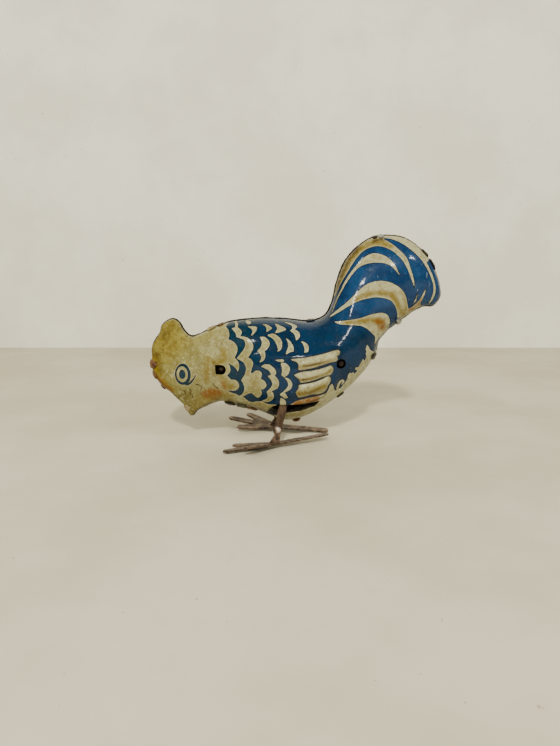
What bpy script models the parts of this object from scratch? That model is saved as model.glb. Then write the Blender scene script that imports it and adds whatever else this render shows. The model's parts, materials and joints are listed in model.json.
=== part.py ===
"""Wind-up pecking rooster in printed tinplate: two stamped half shells held by folded tabs,
a spring clockwork between two plates, and a pair of legs rocked by a crank.

The head points to -X, the tail to +X and up is +Z.  The seam of the two halves is the plane
y = 0 of the design.  The design is drawn in millimetres; MM turns it into metres, and an empty
at the end moves the whole bird so that the middle of its underside is the world's origin.
"""
import math

import bmesh
import bpy
import numpy as np
from mathutils import Matrix, Vector
from mathutils.geometry import delaunay_2d_cdt

MM = 0.001
SHEET = 0.4            # thickness of the tinplate
GAP = 0.3              # room between pieces that touch
SIDES = {"left": -1.0, "right": 1.0}

# ---- driving dimensions of the clockwork, in the plane of the frame plates (x, z) ----
PLATE_INNER = 6.0      # distance of each frame plate from the seam plane
PLATE_THICK = 0.8
GREAT_AT = (12.1, 31.5)
GREAT_TEETH, GREAT_MODULE = 36, 0.45
SECOND_LEAVES = 9
SECOND_TEETH, SECOND_MODULE = 32, 0.4
CRANK_LEAVES = 8
GREAT_TO_SECOND = math.radians(150.0)
SECOND_TO_CRANK = math.radians(190.0)
ARBOR_RADIUS = 0.6
WINDING_RADIUS = 1.2
RATCHET_TEETH = 12
CRANK_THROW = 1.93
CRANK_DISC_SPAN = (-7.7, -7.15)
ROCKER_SPAN = (-7.8, -7.2)
ROD_SPAN = (-8.6, -8.05)
PIN_RADIUS = 0.55
NECK_STAY_AT = (-21.9, 28.9)
REAR_STAY_AT = (22.4, 31.4)
PILLARS = {"pillar_front": (-9.8, 33.5), "pillar_lower": (-5.5, 24.6), "pillar_spring": (15.0, 22.0)}

# ---- driving dimensions of the legs ----
LEG_PIVOT = (3.7, 26.0)
LEG_OFFSET = 8.9       # inner face of each leg strip at the height of its pivot
LEG_LEAN = math.radians(13.0)
LEG_SPLAY = math.radians(6.5)
LEG_WIDTH, LEG_THICK = 3.0, 0.7
LEG_LENGTH = 21.2
FOOT_REACH = 26.15      # from the pivot down to the sole
AXLE_RADIUS = 0.9
ROCKER_ARM = 8.0
ROCKER_ANGLE = math.radians(166.0)
FOOT_YAW = {"left": 22.0, "right": 13.0}     # toes out, in degrees
FOOT_PITCH = {"left": 4.0, "right": 0.0}     # toes down, in degrees
FOOT_THICK = 0.5
TOE_HALF = 1.8
TOE_RISE = {"left": 0.03, "right": 0.11}     # slope of the bent toes: left back, right front
OUTER_TOE_RISE = 0.30
HUB_RADIUS = 2.2
FRONT_WEB, SIDE_WEB = 8.4, 3.2   # distance from the ankle to the notches between the toes
TAB_FACE = LEG_OFFSET + LEG_THICK + GAP
RIVET_RADIUS = 0.6
TOES = ((0.0, 20.0), (29.0, 16.0), (180.0, 22.6), (-29.0, 16.0))   # angle in degrees, length


def polar(centre, radius, angle):
    return (centre[0] + radius * math.cos(angle), centre[1] + radius * math.sin(angle))


SECOND_AT = polar(GREAT_AT, GREAT_MODULE * (GREAT_TEETH + SECOND_LEAVES) / 2, GREAT_TO_SECOND)
CRANK_AT = polar(SECOND_AT, SECOND_MODULE * (SECOND_TEETH + CRANK_LEAVES) / 2, SECOND_TO_CRANK)
CRANK_PIN_AT = (CRANK_AT[0], CRANK_AT[1] + CRANK_THROW)
ROCKER_PIN_AT = polar(LEG_PIVOT, ROCKER_ARM, ROCKER_ANGLE)

# ---- the bird's form: ribs from the brow to the tip of the tail ----
# upper end x, z; lower end x, z; half width of the bird there
RIBS = (
    (-49.2, 30.2, -49.2, 30.2, 0.0),
    (-48.9, 33.0, -48.7, 27.2, 3.6),
    (-48.8, 36.9, -47.1, 23.7, 6.0),
    (-46.0, 41.3, -44.6, 20.4, 7.4),
    (-44.7, 44.7, -42.2, 18.6, 8.2),
    (-41.2, 46.8, -39.8, 16.0, 8.8),
    (-38.6, 45.6, -37.2, 13.3, 9.2),
    (-36.7, 42.4, -35.5, 9.9, 9.4),
    (-34.0, 40.2, -34.3, 9.2, 9.5),
    (-31.0, 41.0, -32.2, 11.4, 9.7),
    (-26.0, 43.3, -28.4, 13.2, 10.2),
    (-22.2, 44.7, -23.2, 14.9, 11.2),
    (-18.0, 46.0, -19.4, 14.1, 12.2),
    (-8.0, 47.1, -9.0, 11.6, 14.2),
    (2.0, 46.9, 3.5, 7.6, 15.0),
    (11.0, 46.1, 16.0, 12.4, 14.6),
    (17.0, 48.2, 28.5, 22.4, 12.2),
    (19.9, 53.6, 35.8, 32.2, 9.8),
    (21.6, 61.5, 38.6, 40.0, 8.2),
    (25.6, 70.2, 46.0, 46.6, 7.2),
    (34.0, 76.9, 53.4, 51.5, 6.4),
    (45.0, 77.2, 58.4, 52.3, 5.2),
    (53.2, 72.0, 60.5, 56.8, 3.6),
    (58.2, 64.6, 58.2, 64.6, 0.0),
)
HEAD_SPAN = (-33.0, -18.0)                   # the skull's broad form fades into the body here
SKULL_HALF = 9.4
COMB_LINE = ((-50.3, 29.2), (-34.3, 39.6))   # where the comb grows out of the skull
COMB_HALF = 2.2
BEAK_TIP = (-34.4, 9.2)
SHELL_RIBS, SHELL_ARCS = 46, 14              # facets along the bird and round it


# ------------------------------------------------------------------ building blocks
def principled(name, colour, roughness, metallic):
    material = bpy.data.materials.new(name)
    material.use_nodes = True
    shader = material.node_tree.nodes["Principled BSDF"]
    shader.inputs["Base Color"].default_value = (*colour, 1.0)
    shader.inputs["Roughness"].default_value = roughness
    shader.inputs["Metallic"].default_value = metallic
    return material


def add_piece(name, shape, material, parent=None, smooth=True):
    """Makes an object of shape = (points in mm, faces).  Its origin is its parent's, or the design's."""
    points, faces = shape
    base = Vector((0.0, 0.0, 0.0)) if parent is None else Vector(parent["at_mm"])
    mesh = bpy.data.meshes.new(name)
    mesh.from_pydata([(Vector(p) - base) * MM for p in points], [], faces)
    solid = bmesh.new()
    solid.from_mesh(mesh)
    bmesh.ops.recalc_face_normals(solid, faces=solid.faces)
    solid.to_mesh(mesh)
    solid.free()
    if smooth:
        mesh.shade_smooth()
        mesh.set_sharp_from_angle(angle=math.radians(35.0))
    mesh.materials.append(material)
    piece = bpy.data.objects.new(name, mesh)
    bpy.context.collection.objects.link(piece)
    piece.parent = parent
    return piece


def add_axis(name, x, z, parent=None):
    """An empty on a joint's axis, which runs along Y through (x, z)."""
    axis = bpy.data.objects.new(name, None)
    bpy.context.collection.objects.link(axis)
    base = Vector((0.0, 0.0, 0.0)) if parent is None else Vector(parent["at_mm"])
    axis["at_mm"] = (x, 0.0, z)
    axis.location = (Vector((x, 0.0, z)) - base) * MM
    axis.empty_display_size = 0.004
    axis.parent = parent
    return axis


def cut(piece, name, shape, operation="DIFFERENCE"):
    """Cuts a shape out of a piece, or joins it on, and keeps the tool as a hidden guide."""
    tool = add_piece(name, shape, piece.data.materials[0], piece.parent, smooth=False)
    tool.hide_render = True
    tool.display_type = "WIRE"
    boolean = piece.modifiers.new(name, "BOOLEAN")
    boolean.operation = operation
    boolean.object = tool


def circle(centre, radius, count, start=0.0):
    return [polar(centre, radius, start + 2.0 * math.pi * k / count) for k in range(count)]


def arc(centre, radius, first, last, count):
    """Points of an arc between two angles in degrees, both ends included."""
    angles = [math.radians(first + (last - first) * k / count) for k in range(count + 1)]
    return [polar(centre, radius, angle) for angle in angles]


def plate(outline, holes, low, high, place=lambda a, b, h: (a, h, b), creases=()):
    """A flat plate: a 2-D outline with holes, extruded from low to high.

    place turns the outline's (a, b) and the height h into (x, y, z); by default the plate lies
    in the XZ plane and its thickness runs along Y.  Creases are closed loops drawn on the plate,
    which keep the part inside them flat when place bends the rest.
    """
    walled = [outline, *holes]
    flat = [Vector(p) for loop in [*walled, *creases] for p in loop]
    rings = []
    for loop in [*walled, *creases]:
        first = rings[-1][-1] + 1 if rings else 0
        rings.append(list(range(first, first + len(loop))))
    edges = [(ring[k - 1], ring[k]) for ring in rings for k in range(len(ring))]
    verts, _, faces, origin, _, _ = delaunay_2d_cdt(flat, edges, [], 0, 1e-6)
    outside = [[flat[k] for k in ring] for ring in rings[:len(walled)]]
    kept = [f for f in faces if is_inside(sum((verts[k] for k in f), Vector((0.0, 0.0))) / 3.0, outside)]
    count = len(verts)
    points = [place(v.x, v.y, low) for v in verts] + [place(v.x, v.y, high) for v in verts]
    bottom = [tuple(reversed(f)) for f in kept]
    top = [tuple(k + count for k in f) for f in kept]
    renumber = {source: k for k, sources in enumerate(origin) for source in sources}
    walls = []
    for a, b in edges[:sum(len(loop) for loop in walled)]:
        a, b = renumber[a], renumber[b]
        walls.append((a, b, b + count, a + count))
    return points, bottom + top + walls


def is_inside(point, loops):
    """True inside the first loop and outside the others (crossings are counted over all)."""
    crossings = 0
    for loop in loops:
        for k, end in enumerate(loop):
            start = loop[k - 1]
            if (start.y > point.y) != (end.y > point.y):
                across = start.x + (point.y - start.y) * (end.x - start.x) / (end.y - start.y)
                crossings += across > point.x
    return crossings % 2 == 1


def stacked(rings, closed_ends=True):
    """A solid skinned over rings that all have the same number of points."""
    count = len(rings[0])
    points = [p for ring in rings for p in ring]
    faces = []
    for level in range(len(rings) - 1):
        for k in range(count):
            a = level * count + k
            b = level * count + (k + 1) % count
            faces.append((a, b, b + count, a + count))
    if closed_ends:
        faces.append(tuple(reversed(range(count))))
        faces.append(tuple(range(len(points) - count, len(points))))
    else:
        last = len(points) - count
        for k in range(count):
            after = (k + 1) % count
            faces.append((last + k, last + after, after, k))
    return points, faces


def turned(centre, profile, count=16):
    """A solid turned about the Y axis through centre, from (radius, y) pairs; ends are flat."""
    rings = [[(x, y, z) for x, z in circle(centre, radius, count)] for radius, y in profile]
    return stacked(rings)


def sleeve(centre, inner, outer, low, high, count=16):
    """A tube about the Y axis."""
    profile = ((outer, low), (outer, high), (inner, high), (inner, low))
    rings = [[(x, y, z) for x, z in circle(centre, radius, count)] for radius, y in profile]
    return stacked(rings, closed_ends=False)


def gear_outline(centre, teeth, module, tooth_at):
    """Straight-flanked teeth with running backlash, one of them centred on the angle tooth_at."""
    pitch = 2.0 * math.pi / teeth
    radius = module * teeth / 2.0
    tip, root = radius + 0.85 * module, radius - 1.2 * module
    points = []
    for k in range(teeth):
        middle = tooth_at + k * pitch
        for reach, part in ((root, -0.27), (tip, -0.11), (tip, 0.11), (root, 0.27)):
            points.append(polar(centre, reach, middle + part * pitch))
    return points


def pinion_arbor(centre, leaves, module, tooth_at, ends, teeth_span):
    """An arbor with its pinion in one piece, made of rings with one point per tooth corner."""
    toothed = gear_outline(centre, leaves, module, tooth_at)
    angles = [math.atan2(z - centre[1], x - centre[0]) for x, z in toothed]
    plain = [polar(centre, ARBOR_RADIUS, angle) for angle in angles]
    rings = [[(x, ends[0], z) for x, z in plain]]
    rings.append([(x, teeth_span[0], z) for x, z in plain])
    rings.append([(x, teeth_span[0], z) for x, z in toothed])
    rings.append([(x, teeth_span[1], z) for x, z in toothed])
    rings.append([(x, teeth_span[1], z) for x, z in plain])
    rings.append([(x, ends[1], z) for x, z in plain])
    return stacked(rings)


# ------------------------------------------------------------------ the tin bird
def rib_at(s):
    """Smooth curve through the ribs: s counts ribs, and the two sides join smoothly at both ends."""
    ribs = np.array(RIBS)
    crossed = ribs[:, [2, 3, 0, 1, 4]] * np.array([1, 1, 1, 1, -1])
    table = np.vstack([crossed[1], ribs, crossed[-2]])
    k = np.clip(np.floor(s).astype(int), 0, len(ribs) - 2)
    t = (s - k)[:, None]
    p0, p1, p2, p3 = (table[k + step] for step in range(4))
    bend = 2 * p0 - 5 * p1 + 4 * p2 - p3
    return p1 + 0.5 * t * (p2 - p0 + t * (bend + t * (3 * (p1 - p2) + p3 - p0)))


def soft_min(depth, limit):
    return depth / (1.0 + (depth / limit) ** 4) ** 0.25


def step_up(value, low, high):
    t = np.clip((value - low) / (high - low), 0.0, 1.0)
    return t * t * (3.0 - 2.0 * t)


def wing_relief(x, z):
    """The embossed wing: a raised field with a shoulder, fading out towards its rear end."""
    upper = 36.4 + 0.085 * x
    lower = 18.0 + 0.35 * np.maximum(x - 8.0, 0.0)
    field = step_up(upper - z, -0.2, 2.2) * step_up(z - lower, -1.0, 3.0)
    return 0.8 * field * step_up(x, -13.0, -6.0) * step_up(22.5 - x, 0.0, 2.5)


def shell_form(rib_count, arc_count):
    """Outer points of one half: x, depth from the seam plane, z, for each rib and arc step."""
    last = len(RIBS) - 1
    s = np.linspace(0.0, last, rib_count + 1)
    ribs = rib_at(s)[:, None, :]
    angle = np.linspace(0.0, math.pi, arc_count + 1)[None, :]
    across = np.cos(angle)
    x = (ribs[..., 0] + ribs[..., 2]) / 2 + (ribs[..., 0] - ribs[..., 2]) / 2 * across
    z = (ribs[..., 1] + ribs[..., 3]) / 2 + (ribs[..., 1] - ribs[..., 3]) / 2 * across
    swell = 1.0 + 0.45 * step_up(x, HEAD_SPAN[1], HEAD_SPAN[0])
    depth = swell * np.maximum(ribs[..., 4], 0.0) * np.abs(np.sin(angle)) ** 0.92
    depth[:, [0, -1]] = 0.0
    skull = SKULL_HALF * np.sqrt(1.0 - ((z - 26.0) / 24.0) ** 2 * step_up(x, HEAD_SPAN[1], HEAD_SPAN[0]))
    depth = soft_min(depth, skull + 12.0 * step_up(x, HEAD_SPAN[0], HEAD_SPAN[1]))
    (ax, az), (bx, bz) = COMB_LINE
    run = math.hypot(bx - ax, bz - az)
    above = ((x - bx) * (az - bz) + (z - bz) * (bx - ax)) / run
    below = 0.5 * (1.0 - above + np.sqrt((1.0 - above) ** 2 + 9.0))
    depth = soft_min(depth, COMB_HALF + 0.85 * below)
    depth = soft_min(depth, 0.4 + 0.62 * np.hypot(x - BEAK_TIP[0], z - BEAK_TIP[1]))
    depth = depth + wing_relief(x, z) * np.clip(depth / 4.0, 0.0, 1.0)
    return x, depth, z


def half_shell(side):
    """One stamped half as a closed sheet: outer skin, inner skin and the rim that joins them."""
    x, depth, z = shell_form(SHELL_RIBS, SHELL_ARCS)
    outer = np.stack([x, depth, z], axis=-1)
    normal = np.cross(np.gradient(outer, axis=0), np.gradient(outer, axis=1))
    normal[:, [0, -1], 1] = 0.0
    normal[0, :] = normal[-1, :] = (0.0, 0.0, 0.0)
    normal[0, :, 0] = 1.0
    normal[-1, :, 0] = -1.0
    normal /= np.linalg.norm(normal, axis=-1, keepdims=True)
    middle = np.array([[[-10.0, 0.0, 28.0]]])
    inward = normal[20:21, 4:5] * (middle - outer[20:21, 4:5])
    normal[1:-1] *= np.sign(inward.sum())
    inner = outer + SHEET * normal
    inner[:, [0, -1], 1] = 0.0
    points = []
    index = {}
    for skin, grid in enumerate((outer, inner)):
        for i in range(SHELL_RIBS + 1):
            for j in range(SHELL_ARCS + 1):
                pole = i in (0, SHELL_RIBS)
                key = (skin, i, 0 if pole else j)
                if key not in index:
                    index[key] = len(points)
                    px, py, pz = grid[i, j]
                    points.append((px, side * (GAP / 2 + max(py, 0.0)), pz))
                index[skin, i, j] = index[key]
    faces = []
    for skin in (0, 1):
        for i in range(SHELL_RIBS):
            for j in range(SHELL_ARCS):
                corners = [index[skin, i, j], index[skin, i + 1, j], index[skin, i + 1, j + 1], index[skin, i, j + 1]]
                faces.append(tuple(dict.fromkeys(corners)))
    for i in range(SHELL_RIBS):
        for j in (0, SHELL_ARCS):
            corners = [index[0, i, j], index[0, i + 1, j], index[1, i + 1, j], index[1, i, j]]
            faces.append(tuple(dict.fromkeys(corners)))
    return points, faces


def slot_outline():
    """The leg slot: tall and rounded in front, drawn out to a narrow end behind."""
    front = [(-5.3, 10.2), (-5.0, 12.2), (-3.9, 13.9), (-2.4, 15.3), (-0.6, 16.0)]
    top = [(3.0, 15.9), (9.0, 16.4), (15.0, 17.2)]
    bottom = [(13.2, 15.0), (7.9, 13.2), (2.2, 12.3), (-2.0, 10.6), (-4.2, 9.6)]
    return front + top + bottom


def body_shell(name, material):
    side = SIDES[name]
    shell = add_piece(f"body_shell_{name}", half_shell(side), material)
    low, high = sorted((side * 5.0, side * 20.0))
    cut(shell, f"leg_slot_{name}", plate(slot_outline(), [], low, high))
    x, z = NECK_STAY_AT
    neck = [(x - 1.9, z - 1.8), *arc((x + 0.1, z), 1.8, -90.0, 90.0, 8), (x - 2.2, z + 1.8)]
    cut(shell, f"neck_hole_{name}", plate(neck, [], low, high))
    cut(shell, f"rear_hole_{name}", plate(circle(REAR_STAY_AT, 1.8, 16), [], low, high))
    if name == "right":
        cut(shell, f"key_hole_{name}", plate(circle(GREAT_AT, 1.7, 16), [], low, high))
    return shell


# ------------------------------------------------------------------ the clockwork
def frame_plate(name, material):
    side = SIDES[name]
    low, high = sorted((side * PLATE_INNER, side * (PLATE_INNER + PLATE_THICK)))
    outline = [(-23.4, 27.0), (-12.5, 26.2), (-8.5, 22.4), (-8.9, 17.6), (-7.4, 15.0), (-4.2, 13.8)]
    outline += [(0.4, 12.7), (2.4, 13.4), (2.6, 20.6), (7.5, 21.4), (10.5, 20.0)]
    outline += [(18.5, 20.2), (22.0, 26.2), *arc(REAR_STAY_AT, 2.4, -70.0, 80.0, 6)]
    outline += [(20.5, 34.4), (14.5, 41.0), (5.0, 42.0), (-8.5, 39.8), (-13.5, 33.4), (-23.4, 30.9)]
    outline += [(-24.3, 30.0), (-24.3, 27.9)]
    holes = [circle(NECK_STAY_AT, 1.3, 10), circle(REAR_STAY_AT, 1.3, 10), circle(LEG_PIVOT, 1.15, 12)]
    holes += [circle(GREAT_AT, WINDING_RADIUS + 0.2, 12)]
    holes += [circle(at, ARBOR_RADIUS + 0.2, 8) for at in (SECOND_AT, CRANK_AT)]
    holes += [circle(at, 0.95, 8) for at in PILLARS.values()]
    return add_piece(f"frame_plate_{name}", plate(outline, holes, low, high), material)


def pillar(name, at, material):
    shoulder, end = PLATE_INNER - GAP, PLATE_INNER + PLATE_THICK + 0.1
    profile = ((0.7, -end), (0.7, -shoulder), (1.2, -shoulder), (1.2, shoulder), (0.7, shoulder), (0.7, end))
    return add_piece(name, turned(at, profile, 10), material)


def stay(name, at, reach, material):
    """A cross stay through both plates; its ends stand in the body's holes."""
    profile = ((0.7, -reach), (1.1, -reach + 0.4), (1.1, reach - 0.4), (0.7, reach))
    return add_piece(name, turned(at, profile, 12), material)


def mainspring(material):
    """A ribbon coiled from the arbor outwards, its outer end bent round a pillar."""
    inner, outer, turns, steps = 1.75, 7.3, 4.5, 72
    x_pillar, z_pillar = PILLARS["pillar_spring"]
    last = math.atan2(z_pillar - GREAT_AT[1], x_pillar - GREAT_AT[0]) - 0.35
    coil = []
    for k in range(steps + 1):
        share = k / steps
        angle = last - 2.0 * math.pi * turns * (1.0 - share)
        coil.append(polar(GREAT_AT, inner + (outer - inner) * share, angle))
    hook = arc((x_pillar, z_pillar), 1.65, 195.0, 20.0, 6)
    path = coil + [(hook[0][0] + 0.1, hook[0][1] + 0.8)] + hook
    return add_piece("mainspring", ribbon(path, 0.3, -3.4, 1.6), material)


def ribbon(path, thick, low, high):
    """A strip on edge that follows a path in the XZ plane."""
    rings = []
    for k, (x, z) in enumerate(path):
        before, after = path[max(k - 1, 0)], path[min(k + 1, len(path) - 1)]
        along = Vector((after[0] - before[0], after[1] - before[1])).normalized() * thick / 2
        rings.append([(x - along.y, low, z + along.x), (x - along.y, high, z + along.x),
                      (x + along.y, high, z - along.x), (x + along.y, low, z - along.x)])
    return stacked(rings)


def great_wheel(axis, material):
    outline = gear_outline(GREAT_AT, GREAT_TEETH, GREAT_MODULE, GREAT_TO_SECOND)
    holes = [circle(GREAT_AT, WINDING_RADIUS + 0.2, 12), circle(CLICK_AT, 0.7, 8)]
    return add_piece("great_wheel", plate(outline, holes, 3.4, 4.2), material, axis)


RATCHET_ROOT, RATCHET_TIP = 2.2, 2.9
CLICK_TOOTH = math.radians(60.0)
CLICK_AT = polar(GREAT_AT, 6.2, CLICK_TOOTH + math.radians(55.0))


def ratchet_wheel(axis, material):
    outline = []
    for k in range(RATCHET_TEETH):
        angle = CLICK_TOOTH + 2.0 * math.pi * k / RATCHET_TEETH
        outline.append(polar(GREAT_AT, RATCHET_TIP, angle))
        outline.append(polar(GREAT_AT, RATCHET_ROOT, angle + math.radians(3.0)))
    holes = [circle(GREAT_AT, WINDING_RADIUS + 0.2, 10)]
    return add_piece("ratchet_wheel", plate(outline, holes, 2.2, 2.9), material, axis)


def click_pawl(axis, material):
    """The pawl: an eye on its rivet and a pointed arm that rests in a tooth of the ratchet."""
    low_corner = polar(GREAT_AT, 2.75, CLICK_TOOTH + math.radians(8.0))
    high_corner = polar(GREAT_AT, 3.5, CLICK_TOOTH + math.radians(5.0))
    heading = math.degrees(math.atan2(CLICK_AT[1] - high_corner[1], CLICK_AT[0] - high_corner[0]))
    outline = [high_corner, *arc(CLICK_AT, 1.1, heading - 100.0, heading + 100.0, 8), low_corner]
    return add_piece("click_pawl", plate(outline, [circle(CLICK_AT, 0.7, 8)], 2.2, 2.9), material, axis)


def winding_arbor(axis, material):
    profile = ((1.0, -7.2), (WINDING_RADIUS, -6.9), (WINDING_RADIUS, 20.6), (1.0, 20.9))
    return add_piece("winding_arbor", turned(GREAT_AT, profile, 12), material, axis)


def key_barrel(axis, material):
    return add_piece("key_barrel", sleeve(GREAT_AT, 1.45, 2.1, 16.2, 21.4, 16), material, axis)


def key_wing(axis, material):
    """The finger plate: two rounded wings with a hole in each, on a short neck."""
    wing = [*arc((-6.0, 26.6), 4.2, 250.0, 40.0, 12), (-1.6, 26.4), (1.6, 26.4)]
    wing += [*arc((6.0, 26.6), 4.2, 140.0, -70.0, 12), (2.0, 23.4), (2.0, 21.7), (-2.0, 21.7), (-2.0, 23.4)]
    holes = [circle((-6.2, 26.8), 1.5, 12), circle((6.2, 26.8), 1.5, 12)]
    tilt = math.radians(35.0)

    def place(across, out, thick):
        x = GREAT_AT[0] + across * math.cos(tilt) - thick * math.sin(tilt)
        return (x, out, GREAT_AT[1] + across * math.sin(tilt) + thick * math.cos(tilt))

    return add_piece("key_wing", plate(wing, holes, -0.5, 0.5, place), material, axis)


def second_pieces(axis, steel, brass):
    gap_at = GREAT_TO_SECOND + math.pi
    leaf = gap_at + math.pi / SECOND_LEAVES
    end = PLATE_INNER + PLATE_THICK + 0.4
    arbor = pinion_arbor(SECOND_AT, SECOND_LEAVES, GREAT_MODULE, leaf, (-end, end), (3.0, 4.6))
    add_piece("second_arbor", arbor, steel, axis)
    outline = gear_outline(SECOND_AT, SECOND_TEETH, SECOND_MODULE, SECOND_TO_CRANK)
    wheel = plate(outline, [circle(SECOND_AT, ARBOR_RADIUS + 0.2, 8)], -4.8, -4.2)
    add_piece("second_wheel", wheel, brass, axis)


def crank_pieces(axis, steel, brass):
    leaf = SECOND_TO_CRANK + math.pi + math.pi / CRANK_LEAVES
    end = PLATE_INNER + PLATE_THICK + 0.4
    arbor = pinion_arbor(CRANK_AT, CRANK_LEAVES, SECOND_MODULE, leaf, (CRANK_DISC_SPAN[0] - 0.1, end), (-5.2, -3.8))
    add_piece("crank_arbor", arbor, steel, axis)
    holes = [circle(CRANK_AT, ARBOR_RADIUS + 0.2, 8), circle(CRANK_PIN_AT, PIN_RADIUS + 0.15, 8)]
    disc = plate(circle(CRANK_AT, 3.1, 24), holes, *CRANK_DISC_SPAN)
    add_piece("crank_disc", disc, brass, axis)
    pin = turned(CRANK_PIN_AT, ((PIN_RADIUS, ROD_SPAN[0] - 0.2), (PIN_RADIUS, CRANK_DISC_SPAN[1])), 10)
    add_piece("crank_pin", pin, steel, axis)


def connecting_rod(axis, material):
    """A flat link with an eye at each end; the lower eye has room round the rocker's pin."""
    (x1, z1), (x2, z2) = CRANK_PIN_AT, ROCKER_PIN_AT
    heading = math.degrees(math.atan2(z1 - z2, x1 - x2))
    outline = arc(CRANK_PIN_AT, 1.15, heading - 125.0, heading + 125.0, 8)
    outline += arc(ROCKER_PIN_AT, 1.5, heading + 35.0, heading + 325.0, 10)
    holes = [circle(CRANK_PIN_AT, PIN_RADIUS + 0.15, 8), circle(ROCKER_PIN_AT, PIN_RADIUS + 0.4, 10)]
    return add_piece("connecting_rod", plate(outline, holes, *ROD_SPAN), material, axis)


# ------------------------------------------------------------------ the legs
def splayed(side):
    """Turns a point of the upright leg outwards about the height of the pivot."""
    hinge = Vector((0.0, side * LEG_OFFSET, LEG_PIVOT[1]))
    turn = Matrix.Rotation(side * LEG_SPLAY, 4, "X")
    return lambda point: tuple(hinge + turn @ (Vector(point) - hinge))


def leg_strip(name, axis, material):
    side = SIDES[name]
    down = math.degrees(-LEG_LEAN) - 90.0
    foot_end = polar(LEG_PIVOT, LEG_LENGTH, math.radians(down))
    outline = arc(LEG_PIVOT, 2.1, down + 45.0, down + 315.0, 12)
    outline += arc(foot_end, LEG_WIDTH / 2, down - 90.0, down + 90.0, 6)
    holes = [circle(LEG_PIVOT, AXLE_RADIUS + 0.35, 12), circle(rivet_at(), 0.9, 10)]
    low, high = sorted((side * LEG_OFFSET, side * (LEG_OFFSET + LEG_THICK)))
    points, faces = plate(outline, holes, low, high)
    bend = splayed(side)
    return add_piece(f"leg_{name}", ([bend(p) for p in points], faces), material, axis)


def rivet_at():
    return polar(LEG_PIVOT, LEG_LENGTH - 0.9, -math.pi / 2 - LEG_LEAN)


def foot_origin():
    """The point of the sole right under the leg strip, before the leg is splayed."""
    x, z = polar(LEG_PIVOT, FOOT_REACH, -math.pi / 2 - LEG_LEAN)
    return x, z


def toe_outline():
    """The sole seen from above in (forward, sideways): toes with round ends and webs between."""
    outline = []
    for k, (angle, length) in enumerate(TOES):
        centre = polar((0.0, 0.0), length - TOE_HALF, math.radians(angle))
        outline += arc(centre, TOE_HALF, angle - 90.0, angle + 90.0, 6)
        turn = (TOES[(k + 1) % len(TOES)][0] - angle) % 360.0
        middle = math.radians(angle + turn / 2)
        if turn < 90.0:
            outline.append(polar((0.0, 0.0), FRONT_WEB, middle))
        else:
            outline += [polar((0.0, 0.0), SIDE_WEB, middle + swing) for swing in (-0.55, 0.55)]
    return outline


def foot(name, axis, material):
    """A stamped foot: the sole with its toes, and the tab bent up against the leg strip."""
    side = SIDES[name]
    x0, z0 = foot_origin()
    y0 = side * (LEG_OFFSET + LEG_THICK / 2)
    yaw = math.radians(FOOT_YAW[name])
    drop = math.tan(math.radians(FOOT_PITCH[name]))
    bend = splayed(side)

    def place(forward, sideways, height):
        x = x0 - forward * math.cos(yaw) + sideways * math.sin(yaw)
        y = y0 + side * (forward * math.sin(yaw) + sideways * math.cos(yaw))
        bent = -forward if name == "left" else forward
        rise = TOE_RISE[name] * max(bent - HUB_RADIUS, 0.0) - drop * forward
        if name == "left" and forward > 0.0:
            rise += OUTER_TOE_RISE * max(sideways - HUB_RADIUS, 0.0)
        return bend((x, y, z0 + height + rise))

    hub = circle((0.0, 0.0), HUB_RADIUS, 8, math.pi / 8)
    sole = plate(toe_outline(), [], 0.0, FOOT_THICK, place, creases=[hub])
    piece = add_piece(f"foot_{name}", sole, material, axis)
    rivet = rivet_at()
    root = z0 + FOOT_THICK / 3
    tab = [*arc(rivet, 1.55, -35.0, 215.0, 12), (rivet[0] - 1.05, rivet[1] - 1.7), (x0 - 1.9, root + 0.6)]
    tab += [(x0 - 1.9, root), (x0 + 1.9, root), (x0 + 1.9, root + 0.6), (rivet[0] + 1.05, rivet[1] - 1.7)]
    low, high = sorted((side * TAB_FACE, side * (TAB_FACE + FOOT_THICK)))
    points, faces = plate(tab, [circle(rivet, RIVET_RADIUS + 0.2, 8)], low, high)
    cut(piece, f"foot_tab_{name}", ([bend(p) for p in points], faces), "UNION")
    return piece


def foot_rivet(name, axis, material):
    """A round-headed rivet through the foot's tab and the leg strip."""
    side = SIDES[name]
    inner, outer = LEG_OFFSET - 0.55, TAB_FACE + FOOT_THICK
    profile = ((0.75, inner), (1.1, inner + 0.1), (1.1, inner + 0.35), (RIVET_RADIUS, inner + 0.35),
               (RIVET_RADIUS, outer + 0.2), (1.2, outer + 0.2), (1.1, outer + 0.5), (0.6, outer + 0.7))
    points, faces = turned(rivet_at(), [(radius, side * y) for radius, y in profile], 10)
    bend = splayed(side)
    return add_piece(f"foot_rivet_{name}", ([bend(p) for p in points], faces), material, axis)


def leg_axle(axis, material):
    end = LEG_OFFSET + LEG_THICK + 1.0
    profile = ((0.7, -end), (AXLE_RADIUS, 0.3 - end), (AXLE_RADIUS, end - 0.3), (0.7, end))
    return add_piece("leg_axle", turned(LEG_PIVOT, profile, 12), material, axis)


def axle_cap(name, axis, material):
    low = LEG_OFFSET + LEG_THICK + 0.45
    span = sorted((SIDES[name] * low, SIDES[name] * (low + 0.5)))
    return add_piece(f"axle_cap_{name}", sleeve(LEG_PIVOT, AXLE_RADIUS + 0.25, 1.9, *span, 12), material, axis)


def leg_rocker(axis, material):
    """The arm on the leg axle that the crank's rod moves."""
    heading = math.degrees(ROCKER_ANGLE)
    outline = arc(LEG_PIVOT, 2.1, heading + 40.0, heading + 320.0, 12)
    outline += arc(ROCKER_PIN_AT, 1.3, heading - 100.0, heading + 100.0, 8)
    holes = [circle(LEG_PIVOT, AXLE_RADIUS + 0.25, 12), circle(ROCKER_PIN_AT, PIN_RADIUS + 0.2, 8)]
    return add_piece("leg_rocker", plate(outline, holes, *ROCKER_SPAN), material, axis)


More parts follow.
